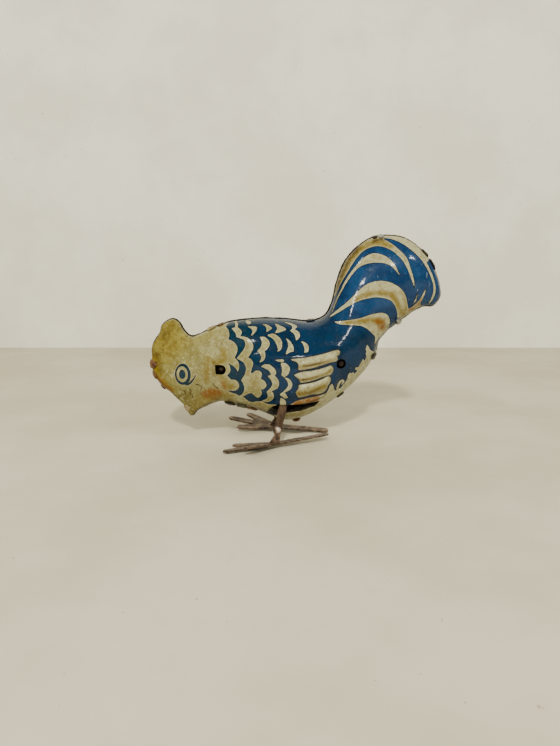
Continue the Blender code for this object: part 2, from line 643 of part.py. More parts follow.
def rocker_pin(axis, material):
    """The pin for the rod's lower eye.  It stops just short of the eye, where the linkage is open."""
    profile = ((PIN_RADIUS, ROD_SPAN[1] + 0.1), (PIN_RADIUS, ROCKER_SPAN[1] + 0.2))
    return add_piece("rocker_pin", turned(ROCKER_PIN_AT, profile, 10), material, axis)


def build():
    for old in list(bpy.data.objects):
        bpy.data.objects.remove(old, do_unlink=True)
    printed = principled("printed_tin", (0.03, 0.16, 0.32), 0.25, 0.2)
    legs_tin = principled("bare_tin", (0.30, 0.26, 0.22), 0.5, 0.9)
    steel = principled("steel", (0.45, 0.43, 0.40), 0.4, 1.0)
    spring_steel = principled("spring_steel", (0.16, 0.18, 0.24), 0.3, 1.0)
    brass = principled("brass", (0.68, 0.48, 0.20), 0.35, 1.0)
    plated = principled("plated_steel", (0.62, 0.61, 0.58), 0.3, 1.0)
    for name in SIDES:
        body_shell(name, printed)
        frame_plate(name, brass)
    for name, at in PILLARS.items():
        pillar(name, at, steel)
    stay("neck_stay", NECK_STAY_AT, 9.0, steel)
    stay("rear_stay", REAR_STAY_AT, 11.8, steel)
    mainspring(spring_steel)

    great = add_axis("great_wheel_axis", *GREAT_AT)
    great_wheel(great, brass)
    add_piece("click_rivet", turned(CLICK_AT, ((0.45, 1.8), (0.45, 4.5)), 8), steel, great)
    click_pawl(add_axis("click_axis", *CLICK_AT, great), steel)
    winding = add_axis("winding_axis", *GREAT_AT, great)
    winding_arbor(winding, steel)
    ratchet_wheel(winding, steel)
    key_barrel(winding, plated)
    key_wing(winding, plated)

    second_pieces(add_axis("second_axis", *SECOND_AT), steel, brass)
    crank = add_axis("crank_axis", *CRANK_AT)
    crank_pieces(crank, steel, brass)
    connecting_rod(add_axis("rod_axis", *CRANK_PIN_AT, crank), steel)

    legs = add_axis("leg_axis", *LEG_PIVOT)
    leg_axle(legs, steel)
    leg_rocker(legs, steel)
    rocker_pin(legs, steel)
    for name in SIDES:
        leg_strip(name, legs, legs_tin)
        foot(name, legs, legs_tin)
        foot_rivet(name, legs, legs_tin)
        axle_cap(name, legs, steel)
    stand_on_origin()


def stand_on_origin():
    """Moves the bird so that the middle of its box, at its lowest point, is the origin."""
    bpy.context.view_layer.update()
    graph = bpy.context.evaluated_depsgraph_get()
    corners = []
    for piece in bpy.data.objects:
        if piece.type == "MESH" and not piece.hide_render:
            shape = piece.evaluated_get(graph)
            corners += [shape.matrix_world @ v.co for v in shape.data.vertices]
    low = [min(c[k] for c in corners) for k in range(3)]
    high = [max(c[k] for c in corners) for k in range(3)]
    offset = Vector((-(low[0] + high[0]) / 2, -(low[1] + high[1]) / 2, -low[2]))
    for piece in bpy.data.objects:
        if piece.parent is None:
            piece.location += offset


build()
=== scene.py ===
"""The looks of the wind-up tin bird: its printed tinplate shells, folded seam, worn steel legs and
feet, key and clockwork, on a pale floor in soft light.

Shapes are drawn in the design's own frame in millimetres, head at -X, seam plane at y = 0; the
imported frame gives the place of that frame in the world.
"""

import json
import math

import bmesh
import bpy
import numpy as np
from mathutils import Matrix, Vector, noise
from mathutils.bvhtree import BVHTree

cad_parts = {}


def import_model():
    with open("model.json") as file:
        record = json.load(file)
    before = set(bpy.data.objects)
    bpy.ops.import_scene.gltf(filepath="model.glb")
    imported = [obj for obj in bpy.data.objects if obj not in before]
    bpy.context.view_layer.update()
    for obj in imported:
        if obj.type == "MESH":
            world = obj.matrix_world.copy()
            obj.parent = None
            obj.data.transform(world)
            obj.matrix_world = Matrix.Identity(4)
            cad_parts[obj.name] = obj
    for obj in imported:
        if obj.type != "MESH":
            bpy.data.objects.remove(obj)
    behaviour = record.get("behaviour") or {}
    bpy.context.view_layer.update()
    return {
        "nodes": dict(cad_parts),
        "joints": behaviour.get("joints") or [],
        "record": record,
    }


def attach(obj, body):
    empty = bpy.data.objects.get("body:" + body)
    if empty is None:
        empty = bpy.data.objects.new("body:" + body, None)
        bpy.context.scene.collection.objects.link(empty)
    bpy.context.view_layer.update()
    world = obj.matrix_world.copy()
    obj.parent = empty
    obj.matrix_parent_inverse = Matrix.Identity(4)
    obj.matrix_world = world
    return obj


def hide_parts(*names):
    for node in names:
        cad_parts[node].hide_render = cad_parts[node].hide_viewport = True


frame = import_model()

MM = 0.001
SIDES = {"left": -1.0, "right": 1.0}
SHEET = 0.4              # thickness of the tinplate
HALF_GAP = 0.15          # each half shell starts this far from the seam plane
LEG_PIVOT = (3.7, 26.0)  # the leg joint in the design's frame
joints = {joint["name"]: joint for joint in frame["joints"]}
pivot = joints["leg_swing"]["pos_m"]
ORIGIN = Vector((pivot[0] - LEG_PIVOT[0] * MM, pivot[1], pivot[2] - LEG_PIVOT[1] * MM))


def world(x, y, z):
    """A point of the design, in millimetres, as a point of the world in metres."""
    return ORIGIN + Vector((x, y, z)) * MM


# ------------------------------------------------------------------ the bird's form
# ribs from the brow to the tip of the tail: upper end x, z; lower end x, z; half width there
RIBS = (
    (-49.2, 30.2, -49.2, 30.2, 0.0),
    (-48.9, 33.0, -48.7, 27.2, 3.6),
    (-48.8, 36.9, -47.1, 23.7, 6.0),
    (-46.0, 41.3, -44.6, 20.4, 7.4),
    (-44.7, 44.7, -42.2, 18.6, 8.2),
    (-41.2, 46.8, -39.8, 16.0, 8.8),
    (-38.6, 45.6, -37.2, 13.3, 9.2),
    (-36.7, 42.4, -35.5, 9.9, 9.4),
    (-34.0, 40.2, -34.3, 9.2, 9.5),
    (-31.0, 41.0, -32.2, 11.4, 9.7),
    (-26.0, 43.3, -28.4, 13.2, 10.2),
    (-22.2, 44.7, -23.2, 14.9, 11.2),
    (-18.0, 46.0, -19.4, 14.1, 12.2),
    (-8.0, 47.1, -9.0, 11.6, 14.2),
    (2.0, 46.9, 3.5, 7.6, 15.0),
    (11.0, 46.1, 16.0, 12.4, 14.6),
    (17.0, 48.2, 28.5, 22.4, 12.2),
    (19.9, 53.6, 35.8, 32.2, 9.8),
    (21.6, 61.5, 38.6, 40.0, 8.2),
    (25.6, 70.2, 46.0, 46.6, 7.2),
    (34.0, 76.9, 53.4, 51.5, 6.4),
    (45.0, 77.2, 58.4, 52.3, 5.2),
    (53.2, 72.0, 60.5, 56.8, 3.6),
    (58.2, 64.6, 58.2, 64.6, 0.0),
)
HEAD_SPAN = (-33.0, -18.0)                   # the skull's broad form fades into the body here
SKULL_HALF = 9.4
COMB_LINE = ((-50.3, 29.2), (-34.3, 39.6))   # where the comb grows out of the skull
COMB_HALF = 2.2
BEAK_TIP = (-34.4, 9.2)
FINE_RIBS, FINE_ARCS = 316, 146              # facets along the bird and round it
WING_RISE, FEATHER_RISE, SCALE_RISE = 0.8, 0.55, 0.10    # how far the pressing stands out
DIMPLE_RISE, DIMPLE_ROWS, DIMPLE_STEP = 0.13, 2.2, 2.1   # the comb's dimples, their rows and their spacing
REAR_HOLE, WINDING_HOLE = 1.8, 1.7           # radii
PUNCH_SPAN = (5.0, 20.0)                     # a punch reaches across the skin, from the seam plane out
NECK_STAY_AT = (-21.9, 28.9)
REAR_STAY_AT = (22.4, 31.4)
GREAT_AT = (12.1, 31.5)


def rib_at(s):
    """Smooth curve through the ribs: s counts ribs, and the two sides join smoothly at both ends."""
    ribs = np.array(RIBS)
    crossed = ribs[:, [2, 3, 0, 1, 4]] * np.array([1, 1, 1, 1, -1])
    table = np.vstack([crossed[1], ribs, crossed[-2]])
    k = np.clip(np.floor(s).astype(int), 0, len(ribs) - 2)
    t = (s - k)[:, None]
    p0, p1, p2, p3 = (table[k + step] for step in range(4))
    bend = 2 * p0 - 5 * p1 + 4 * p2 - p3
    return p1 + 0.5 * t * (p2 - p0 + t * (bend + t * (3 * (p1 - p2) + p3 - p0)))


def soft_min(depth, limit):
    """The smaller of two depths, blended smoothly where they are close."""
    return depth / (1.0 + (depth / limit) ** 4) ** 0.25


def step_up(value, low, high):
    """Smooth step from 0, at low, to 1, at high."""
    t = np.clip((value - low) / (high - low), 0.0, 1.0)
    return t * t * (3.0 - 2.0 * t)


def wing_relief(x, z):
    """The embossed wing: a raised field with a shoulder, fading out towards its rear end."""
    upper = 36.4 + 0.085 * x
    lower = 18.0 + 0.35 * np.maximum(x - 8.0, 0.0)
    field = step_up(upper - z, -0.2, 2.2) * step_up(z - lower, -1.0, 3.0)
    return WING_RISE * field * step_up(x, -13.0, -6.0) * step_up(22.5 - x, 0.0, 2.5)


def feather_relief(x, z):
    """The fine pressing of the wing: each long feather bulges, and the scales stand up a little."""
    relief = np.zeros(x.shape)
    for outline in PRIMARIES:
        relief += FEATHER_RISE * step_up(outline_field(x, z, outline), -0.3, 1.4)
    for outline in SCALES:
        relief += SCALE_RISE * step_up(outline_field(x, z, outline), -0.1, 0.6)
    return relief


def comb_beads(x, z):
    """Rows of small dimples where the comb meets the face, fading out up the comb."""
    height = comb_height(x, z)
    along = ((x - COMB_LINE[0][0]) * 0.839 + (z - COMB_LINE[0][1]) * 0.545)
    height, along = height + 0.5 * np.sin(1.1 * along), along + 0.5 * np.sin(1.7 * height + 1.0)
    row = np.cos(2.0 * math.pi * height / DIMPLE_ROWS)
    bead = np.cos(2.0 * math.pi * (along / DIMPLE_STEP + 0.25 * np.sign(row)))
    where = step_up(height, -8.5, -5.5) * step_up(5.0 - height, 0.0, 5.0) * step_up(-37.5 - x, 0.0, 4.0)
    return DIMPLE_RISE * where * np.abs(row) * np.maximum(bead, -0.3)


def comb_height(x, z):
    """Height above the line where the comb grows out of the skull."""
    (ax, az), (bx, bz) = COMB_LINE
    return ((x - bx) * (az - bz) + (z - bz) * (bx - ax)) / math.hypot(bx - ax, bz - az)


def even_ribs(count):
    """Rib parameters that spread the sections evenly along the bird."""
    s = np.linspace(0.0, len(RIBS) - 1, 2001)
    ribs = rib_at(s)
    upper = np.hypot(np.diff(ribs[:, 0]), np.diff(ribs[:, 1]))
    lower = np.hypot(np.diff(ribs[:, 2]), np.diff(ribs[:, 3]))
    travel = np.concatenate([[0.0], np.cumsum(np.maximum(upper, lower))])
    return np.interp(np.linspace(0.0, travel[-1], count + 1), travel, s)


def shell_form(rib_count, arc_count):
    """Outer points of one half as a grid of (x, depth from the seam plane, z)."""
    ribs = rib_at(even_ribs(rib_count))[:, None, :]
    angle = np.linspace(0.0, math.pi, arc_count + 1)[None, :]
    across = np.cos(angle)
    x = (ribs[..., 0] + ribs[..., 2]) / 2 + (ribs[..., 0] - ribs[..., 2]) / 2 * across
    z = (ribs[..., 1] + ribs[..., 3]) / 2 + (ribs[..., 1] - ribs[..., 3]) / 2 * across
    swell = 1.0 + 0.45 * step_up(x, HEAD_SPAN[1], HEAD_SPAN[0])
    depth = swell * np.maximum(ribs[..., 4], 0.0) * np.abs(np.sin(angle)) ** 0.92
    depth[:, [0, -1]] = 0.0
    skull = SKULL_HALF * np.sqrt(1.0 - ((z - 26.0) / 24.0) ** 2 * step_up(x, HEAD_SPAN[1], HEAD_SPAN[0]))
    depth = soft_min(depth, skull + 12.0 * step_up(x, HEAD_SPAN[0], HEAD_SPAN[1]))
    above = comb_height(x, z)
    below = 0.5 * (1.0 - above + np.sqrt((1.0 - above) ** 2 + 9.0))
    depth = soft_min(depth, COMB_HALF + 0.85 * below)
    depth = soft_min(depth, 0.4 + 0.62 * np.hypot(x - BEAK_TIP[0], z - BEAK_TIP[1]))
    near_edge = np.clip(depth / 4.0, 0.0, 1.0)
    depth = depth + (wing_relief(x, z) + feather_relief(x, z) + comb_beads(x, z)) * near_edge
    return np.stack([x, depth, z], axis=-1)


def slot_outline():
    """The leg slot: tall and rounded in front, drawn out to a narrow end behind."""
    front = [(-5.3, 10.2), (-5.0, 12.2), (-3.9, 13.9), (-2.4, 15.3), (-0.6, 16.0)]
    top = [(3.0, 15.9), (9.0, 16.4), (15.0, 17.2)]
    bottom = [(13.2, 15.0), (7.9, 13.2), (2.2, 12.3), (-2.0, 10.6), (-4.2, 9.6)]
    return front + top + bottom


def circle(centre, radius, count):
    turns = [2.0 * math.pi * k / count for k in range(count)]
    return [(centre[0] + radius * math.cos(a), centre[1] + radius * math.sin(a)) for a in turns]


def neck_hole_outline():
    """A punched hole with a straight front edge and a round rear one."""
    x, z = NECK_STAY_AT
    arc = [math.radians(-90.0 + 15.0 * k) for k in range(13)]
    rear = [(x + 0.1 + 1.8 * math.cos(a), z + 1.8 * math.sin(a)) for a in arc]
    return [(x - 1.9, z - 1.8), *rear, (x - 2.2, z + 1.8)]


# ------------------------------------------------------------------ the print
# Outlines are drawn in the side view (x, z), in millimetres, and closed by smooth curves.
# The mark C makes a point a corner, where two curves meet.
C = "corner"

NECK_EDGE = (          # blue starts behind these lobes of the cream neck
    (-18.6, 49.5, C), (-19.2, 46.0, C), (-20.4, 44.4, C), (-19.3, 43.3), (-18.8, 41.6), (-19.2, 40.0, C),
    (-17.8, 39.5), (-16.4, 38.5), (-15.6, 36.8), (-16.0, 35.0), (-16.8, 33.5, C),
    (-15.7, 32.6), (-15.05, 31.0), (-15.5, 27.7, C), (-15.9, 29.2), (-17.3, 30.6), (-19.4, 31.7, C),
    (-18.6, 30.5), (-18.3, 29.2), (-18.7, 27.9), (-19.7, 26.9, C), (-18.8, 26.0), (-18.3, 25.2, C),
    (-17.0, 25.3), (-15.8, 24.7), (-15.2, 23.2), (-15.6, 21.8), (-17.2, 20.85), (-19.8, 20.9, C),
    (-18.4, 20.0), (-16.4, 19.5), (-15.3, 18.6, C),
)
BELLY_EDGE = (         # and ends above the cream belly
    (-13.6, 18.4), (-12.9, 17.6), (-11.8, 16.7), (-10.2, 16.4), (-8.4, 16.9), (-6.3, 16.8), (-4.7, 16.0),
    (-2.1, 15.9), (1.0, 15.6), (4.0, 15.6, C),
)
RUMP_EDGE = (          # the ragged edge of the blue under the wing and up the rump
    (16.9, 19.9, C), (17.6, 20.9), (18.1, 22.4), (18.5, 23.6), (19.2, 24.1, C), (19.7, 23.1), (20.1, 21.8),
    (20.7, 20.5, C), (21.4, 21.4), (22.7, 21.7), (23.5, 22.9), (24.6, 24.4), (25.2, 25.6, C), (25.3, 26.9),
    (26.0, 27.8), (26.6, 27.4), (27.3, 27.8), (27.7, 26.9, C), (28.5, 27.6), (29.0, 28.4, C), (27.9, 28.9, C),
    (28.1, 29.7, C), (29.2, 29.6), (30.0, 31.0), (30.9, 32.7, C), (31.6, 31.8), (32.4, 33.3, C),
    (31.9, 34.6), (32.2, 35.3), (31.8, 36.4), (32.3, 38.1, C), (33.1, 36.8), (34.1, 35.6), (36.0, 34.6, C),
)
BLUE_REST = (          # round the outside of the tail, back to the neck
    (39.5, 38.0, C), (50.0, 46.0, C), (62.0, 50.0, C), (63.0, 62.0, C), (57.0, 74.0, C), (45.0, 80.0, C),
    (20.0, 80.0, C), (12.0, 52.0, C),
)
BLUE_FIELD = NECK_EDGE + BELLY_EDGE + RUMP_EDGE + BLUE_REST

TAIL_CREAM = (
    # the outer band, up the front edge of the tail and over its top
    ((20.6, 55.5, C), (18.5, 56.0, C), (20.0, 64.0, C), (26.0, 76.0, C), (34.0, 80.0, C), (37.6, 79.5, C),
     (38.2, 76.2, C), (40.0, 75.3), (43.4, 72.6), (46.3, 69.5), (47.8, 65.6), (48.9, 62.6), (49.7, 58.6, C),
     (48.2, 61.9), (46.5, 65.9), (44.3, 69.2), (41.2, 72.0), (38.2, 73.4), (35.6, 73.85), (32.9, 73.3),
     (30.5, 72.0), (28.5, 70.0), (26.8, 67.6), (25.2, 65.0), (22.4, 60.0)),
    # the inner crescent
    ((18.8, 48.0, C), (21.0, 54.6), (22.5, 58.0), (24.1, 61.4), (26.1, 64.5), (29.5, 68.5), (32.6, 70.8),
     (34.8, 71.2), (37.2, 70.7), (39.6, 69.4), (41.9, 67.0), (43.8, 63.3, C), (41.7, 65.6), (39.6, 67.2),
     (36.6, 67.9), (33.0, 67.75), (30.1, 66.9), (27.9, 65.3), (25.4, 62.1), (22.9, 57.8), (21.4, 54.6),
     (20.0, 51.2)),
    # the broad middle band, down to the lower edge
    ((18.3, 47.9, C), (20.4, 50.0), (25.0, 54.0), (28.4, 57.4), (31.4, 59.9), (34.6, 61.1), (37.4, 61.3),
     (40.4, 60.7), (43.1, 59.4), (45.2, 57.6), (46.6, 55.2), (47.7, 51.7), (48.0, 50.9, C), (49.7, 51.7),
     (51.8, 54.0), (53.0, 56.4), (53.9, 58.7, C), (53.8, 56.8), (53.2, 54.8), (52.6, 53.1), (53.2, 51.6, C),
     (53.0, 46.0, C), (46.0, 42.0, C), (44.2, 46.6, C), (43.6, 50.0), (42.6, 52.2), (40.9, 54.1),
     (38.6, 55.0), (35.4, 55.45), (32.1, 55.0), (28.6, 54.0), (25.5, 52.4), (21.3, 49.7)),
    # the lower band, with its end turned down the rump
    ((20.0, 46.5, C), (25.5, 47.2), (30.0, 48.0), (32.9, 48.9), (36.4, 49.6), (38.8, 49.4), (40.3, 48.3),
     (41.1, 46.2), (41.0, 44.4), (40.4, 42.6, C), (39.5, 38.5, C), (37.2, 40.6, C), (36.8, 39.6),
     (36.0, 38.4), (35.5, 37.8, C), (35.7, 39.4), (35.5, 40.8), (34.2, 42.2), (31.7, 44.2), (29.2, 45.2),
     (24.0, 45.5), (21.4, 45.8)),
    # the top and rear edge of the tail
    ((38.4, 76.8, C), (41.4, 76.3), (45.0, 74.7), (48.8, 71.9), (51.7, 69.2), (53.7, 66.4), (55.4, 63.3),
     (56.8, 59.7), (57.0, 57.0), (56.4, 54.4), (55.8, 52.2, C), (57.0, 54.2), (57.8, 56.6), (57.7, 59.2),
     (56.8, 62.2), (55.4, 65.2), (54.0, 67.9, C), (58.0, 72.0, C), (45.0, 80.0, C), (38.2, 79.5, C)),
    # a thin stroke beside the end of the middle band
    ((50.7, 57.2, C), (50.95, 55.8), (50.5, 53.8), (49.3, 51.6, C), (50.1, 53.8), (50.6, 55.6)),
)

NECK_CREAM = (
    # the wavy cream column and the flower of rounded lobes under it
    ((-17.5, 46.6, C), (-16.2, 45.9), (-15.7, 45.1), (-15.9, 44.3, C), (-14.9, 43.7), (-14.15, 42.7),
     (-14.7, 41.2, C), (-13.2, 41.1), (-11.2, 40.3), (-10.0, 38.8), (-9.8, 37.4), (-10.4, 35.8),
     (-11.8, 33.7, C), (-10.6, 33.2), (-9.8, 31.9), (-10.2, 30.2), (-11.0, 27.6, C), (-10.0, 28.2),
     (-8.8, 29.1), (-7.4, 29.1), (-6.6, 27.9), (-7.2, 26.0, C), (-5.9, 25.6), (-5.0, 23.9), (-5.6, 22.6),
     (-7.2, 22.0, C), (-6.7, 20.7), (-7.4, 19.1), (-8.4, 18.5), (-9.5, 19.3), (-10.5, 20.4, C),
     (-11.7, 20.0), (-13.0, 19.2), (-14.4, 18.4, C), (-15.5, 18.5, C), (-14.2, 19.6), (-13.3, 21.2),
     (-13.3, 23.0), (-14.3, 25.3, C), (-13.4, 26.6), (-12.5, 28.8), (-12.7, 30.8), (-13.8, 32.3),
     (-15.9, 33.3, C), (-14.5, 35.1), (-13.2, 36.8), (-12.7, 38.6), (-13.5, 40.1), (-16.2, 40.9, C),
     (-16.4, 42.2), (-18.1, 43.9, C), (-16.9, 44.2), (-16.7, 45.0)),
)

SCALES = (             # each crescent: front tip, over its rear edge to the other tip, and back inside
    ((-13.0, 46.4, C), (-11.8, 46.45), (-10.8, 46.0), (-11.4, 45.35, C), (-12.4, 45.6)),
    ((-12.0, 44.6, C), (-10.3, 44.7), (-8.8, 44.6), (-8.5, 43.9), (-9.4, 42.4), (-10.7, 41.2, C),
     (-10.4, 42.2), (-10.0, 42.9), (-10.6, 43.8)),
    ((-6.7, 45.5, C), (-4.6, 45.2), (-3.0, 44.2), (-3.9, 43.4), (-5.4, 42.6, C), (-4.9, 43.6), (-5.3, 44.7)),
    ((-2.1, 45.7, C), (-0.2, 45.1), (2.2, 43.8), (0.6, 43.0), (-2.3, 42.3, C), (-1.4, 43.3), (-1.1, 44.3)),
    ((-4.9, 41.7, C), (-2.6, 42.3), (-0.5, 41.2), (0.6, 39.6), (0.7, 37.9), (0.1, 36.6), (-1.0, 35.9, C),
     (-0.8, 37.0), (-1.2, 38.4), (-2.1, 40.0), (-3.3, 41.0)),
    ((1.6, 46.1, C), (4.0, 45.7), (5.6, 45.1), (6.3, 44.5), (5.4, 43.9), (3.6, 43.3, C), (4.5, 44.1),
     (4.2, 45.0)),
    ((3.6, 43.3, C), (5.2, 43.7), (6.9, 42.8), (7.3, 41.7), (6.8, 40.6), (5.9, 39.9, C), (5.7, 41.0),
     (5.0, 42.4)),
    ((-7.4, 41.1, C), (-5.6, 41.1), (-4.2, 40.0), (-3.75, 38.7), (-4.4, 37.3), (-5.6, 36.3), (-8.4, 36.2, C),
     (-7.2, 37.3), (-6.7, 38.6), (-6.7, 39.8)),
    ((-8.4, 36.2, C), (-5.6, 36.3, C), (-5.35, 34.6), (-5.8, 33.2), (-6.8, 32.4), (-7.9, 31.9, C),
     (-7.0, 33.3), (-6.9, 34.6)),
    ((2.0, 40.9, C), (3.6, 39.8), (4.8, 37.9), (5.0, 36.2, C), (3.4, 35.8), (1.8, 34.8, C), (2.5, 36.4),
     (2.95, 37.8), (2.8, 39.4)),
    ((7.6, 39.7, C), (9.3, 39.2), (10.4, 37.8), (10.2, 36.1, C), (8.7, 35.7, C), (8.95, 37.0), (8.5, 38.5)),
    ((-1.8, 33.2, C), (0.0, 33.4), (1.5, 33.2), (0.8, 32.4, C), (-0.6, 32.7)),
    ((0.2, 31.9, C), (1.8, 32.1), (3.2, 31.0), (3.6, 29.7), (2.9, 28.0), (1.6, 27.2), (0.5, 27.5, C),
     (0.8, 29.2), (0.6, 30.8)),
    ((-7.1, 30.7, C), (-5.6, 31.5), (-3.9, 31.5), (-2.2, 30.2), (-1.4, 28.8), (-2.0, 27.5), (-3.2, 27.9, C),
     (-3.9, 29.2), (-5.3, 30.1)),
    ((-4.6, 27.2, C), (-3.0, 27.9, C), (-1.5, 27.0), (-0.4, 25.2), (-0.7, 23.2), (-2.2, 22.0),
     (-4.9, 21.3, C), (-3.5, 22.8), (-2.8, 24.3), (-3.4, 26.0)),
    ((-4.9, 21.3, C), (-3.1, 21.5), (-2.3, 19.8), (-2.7, 18.1), (-4.5, 16.95), (-7.1, 17.3, C), (-5.2, 18.1),
     (-4.5, 19.5)),
    ((1.6, 26.9, C), (3.2, 26.4), (4.4, 24.7), (4.1, 22.9), (2.6, 21.6), (-0.4, 20.3, C), (1.7, 22.0),
     (2.9, 23.6), (2.9, 25.0)),
    ((-0.3, 20.3, C), (1.5, 21.1), (2.9, 19.1, C), (1.9, 18.6, C), (0.8, 19.5)),
    ((0.2, 18.9, C), (1.4, 18.4), (2.2, 17.1), (2.0, 15.4, C), (0.1, 15.4, C), (0.0, 17.4)),
)

PRIMARIES = (          # the long wing feathers: root, along the upper edge, round the tip and back
    ((3.6, 33.4, C), (6.6, 33.8), (10.0, 34.2), (15.7, 35.4), (19.4, 36.4), (21.1, 36.7), (21.9, 35.9),
     (21.5, 34.9), (20.7, 34.5, C), (21.0, 33.4), (20.4, 32.6), (18.1, 32.2), (13.1, 30.7), (10.0, 30.0),
     (7.9, 29.6), (6.5, 29.7, C), (6.7, 31.2), (6.1, 32.4)),
    ((5.0, 27.8, C), (7.4, 28.8), (11.8, 29.4), (16.0, 30.4), (18.5, 31.1), (19.4, 29.9), (19.1, 28.6),
     (18.2, 27.6), (16.5, 27.3), (11.8, 25.7), (9.2, 25.1), (7.4, 25.0, C), (6.8, 26.2)),
    ((6.9, 24.1, C), (10.5, 24.7), (13.1, 25.3), (15.8, 26.4), (17.5, 27.2), (18.5, 26.4), (18.3, 24.7),
     (17.6, 23.6, C), (17.2, 22.2), (16.1, 20.8), (14.2, 20.2), (11.8, 20.2), (9.0, 19.5), (6.7, 19.0, C),
     (5.7, 21.2, C), (6.6, 22.5)),
    ((3.6, 15.9, C), (5.6, 17.3), (8.0, 18.3), (12.6, 19.2), (15.4, 19.7), (16.9, 20.4, C), (16.6, 19.4),
     (15.2, 18.6), (13.1, 17.7), (10.0, 16.5), (7.1, 15.75)),
)
FEATHER_LINES = (      # worn brown strokes along the wing feathers
    ((9.3, 30.9), (11.5, 31.4), (14.9, 32.1)),
    ((8.4, 26.2), (10.0, 26.5), (11.2, 26.4)),
)
OCHRE_STROKES = (      # soft tones: points of the stroke, its width and its strength
    (((21.0, 58.0), (23.6, 65.0), (28.0, 71.5), (34.0, 75.0), (40.0, 74.0)), 2.6, 0.95),
    (((-47.8, 32.0), (-46.6, 27.8), (-44.6, 24.2), (-41.4, 20.4)), 2.6, 1.0),
    (((28.0, 54.6), (32.0, 56.4), (37.0, 57.0), (41.5, 56.2)), 1.8, 0.9),
    (((41.0, 56.0), (43.2, 53.6), (44.6, 50.6), (46.5, 48.8)), 2.0, 0.9),
    (((44.6, 57.4), (46.6, 53.6), (47.0, 50.4)), 1.2, 0.7),
    (((24.0, 46.1), (29.0, 46.6), (34.0, 47.0), (38.0, 46.0)), 1.9, 1.0),
    (((7.0, 30.6), (12.0, 31.6), (19.0, 33.2)), 1.3, 0.6),
    (((7.0, 25.8), (11.0, 26.5), (16.0, 28.0), (18.6, 29.6)), 1.3, 0.75),
    (((6.6, 20.6), (11.0, 21.4), (16.0, 23.6)), 2.2, 0.9),
    (((-21.2, 36.2), (-20.6, 33.6), (-22.8, 31.6), (-26.4, 32.4)), 1.9, 0.75),
    (((-27.0, 33.0), (-27.0, 29.0), (-27.8, 24.0)), 1.6, 0.6),
    (((-22.0, 26.8), (-20.4, 24.4), (-19.4, 22.2), (-17.5, 22.6)), 2.4, 0.7),
    (((-33.0, 12.0), (-30.5, 16.0), (-25.0, 16.8), (-19.5, 18.2)), 4.0, 0.55),
    (((-9.5, 26.0), (-9.0, 22.0)), 3.4, 0.35),
    (((-12.0, 14.6), (-6.0, 14.6), (0.0, 12.0), (8.0, 11.5)), 3.0, 0.45),
)
DIRT_AND_SHADE_STROKES = (     # brown dirt rubbed into the comb, the edges and the wing's hollows, and dark rings of painted shade round the folded tabs
    (((-46.0, 43.4), (-43.6, 41.6), (-43.0, 40.0)), 2.4, 0.55),
    (((-48.6, 35.0), (-47.0, 33.6), (-45.0, 34.2)), 2.2, 0.5),
    (((-47.8, 33.6), (-46.0, 31.4), (-45.0, 27.6)), 2.0, 0.45),
    (((-49.6, 37.0), (-49.9, 32.0), (-48.6, 27.0), (-46.4, 23.8), (-43.4, 20.2), (-40.0, 16.8)), 1.8, 1.0),
    (((-40.5, 45.6), (-38.6, 43.0)), 1.4, 0.35),
    (((-24.6, 31.6), (-23.9, 29.0), (-24.4, 26.8)), 1.0, 0.55),
    (((-19.0, 16.2), (-14.0, 14.6), (-8.0, 13.0), (-3.0, 10.6)), 1.6, 0.7),
    (((8.6, 31.2), (12.0, 31.8), (15.6, 32.4)), 0.8, 0.8),
    (((7.0, 21.2), (10.4, 21.4), (14.6, 22.8)), 1.1, 0.45),
    (((7.4, 26.0), (10.6, 26.4), (14.0, 27.4)), 0.8, 0.45),
    (((40.8, 44.4), (42.4, 45.8)), 1.4, 0.5),
    (((20.4, 53.0), (21.6, 60.0), (24.4, 67.4), (28.8, 73.4)), 1.7, 0.95),
    (((-33.8, 10.6), (-30.0, 13.0), (-26.0, 15.0), (-20.0, 14.8)), 1.2, 0.7),
    (((34.6, 75.6), (37.0, 76.4), (39.4, 76.2)), 1.4, 0.9),
    (((20.0, 37.0), (22.4, 35.0), (24.6, 33.0)), 2.4, 0.3),
)
ORANGE_STROKES = (     # on the cheek, the tail's ends and the lowest feather
    (((36.6, 46.4), (38.2, 44.4)), 2.7, 1.1),
    (((48.6, 50.6), (51.0, 51.8), (53.0, 55.0)), 1.6, 0.85),
    (((4.6, 15.9), (8.0, 16.8), (13.2, 18.2)), 2.1, 2.2),
    (((-28.4, 18.6), (-26.0, 20.0), (-23.4, 19.6)), 2.5, 1.25),
    (((-26.8, 18.4), (-24.8, 17.4)), 1.6, 0.6),
    (((-21.4, 24.0), (-20.6, 21.8)), 1.2, 0.8),
    (((-46.6, 25.2), (-44.2, 22.4), (-41.6, 20.6)), 1.5, 1.1),
    (((-27.6, 29.0), (-27.7, 24.6)), 0.9, 0.35),
)
EYE_AT = (-36.5, 26.65)
EYE_BLUE = (3.0, 4.1)        # half width and half height of the eye's blue rim,
EYE_CREAM = (2.1, 3.0)       # of the cream in it,
EYE_PUPIL = (1.28, 1.75)     # and of the pupil
PUPIL_SHIFT = (-0.2, 0.05)   # the cream and the pupil sit a little off the middle of the rim
EYE_STROKE = ((-35.3, 22.8), (-34.2, 23.1), (-33.0, 24.3), (-32.25, 25.35), (-31.55, 26.5))
RUMP_HOOK = ((21.4, 21.9), (21.8, 23.6), (22.5, 24.7), (23.2, 25.0), (23.6, 24.3), (23.1, 23.5))
FACE_TICKS = (         # small brown strokes drawn on the cheek
    ((-31.7, 22.9), (-30.3, 22.6), (-29.6, 21.7), (-30.2, 20.6)),
    ((-36.6, 20.3), (-35.9, 19.4), (-36.2, 18.5)),
    ((-34.3, 20.7), (-33.7, 19.9), (-34.2, 18.8), (-33.3, 18.1), (-33.6, 16.9)),
    ((-25.0, 23.5), (-24.2, 22.3), (-23.0, 21.4)),
)
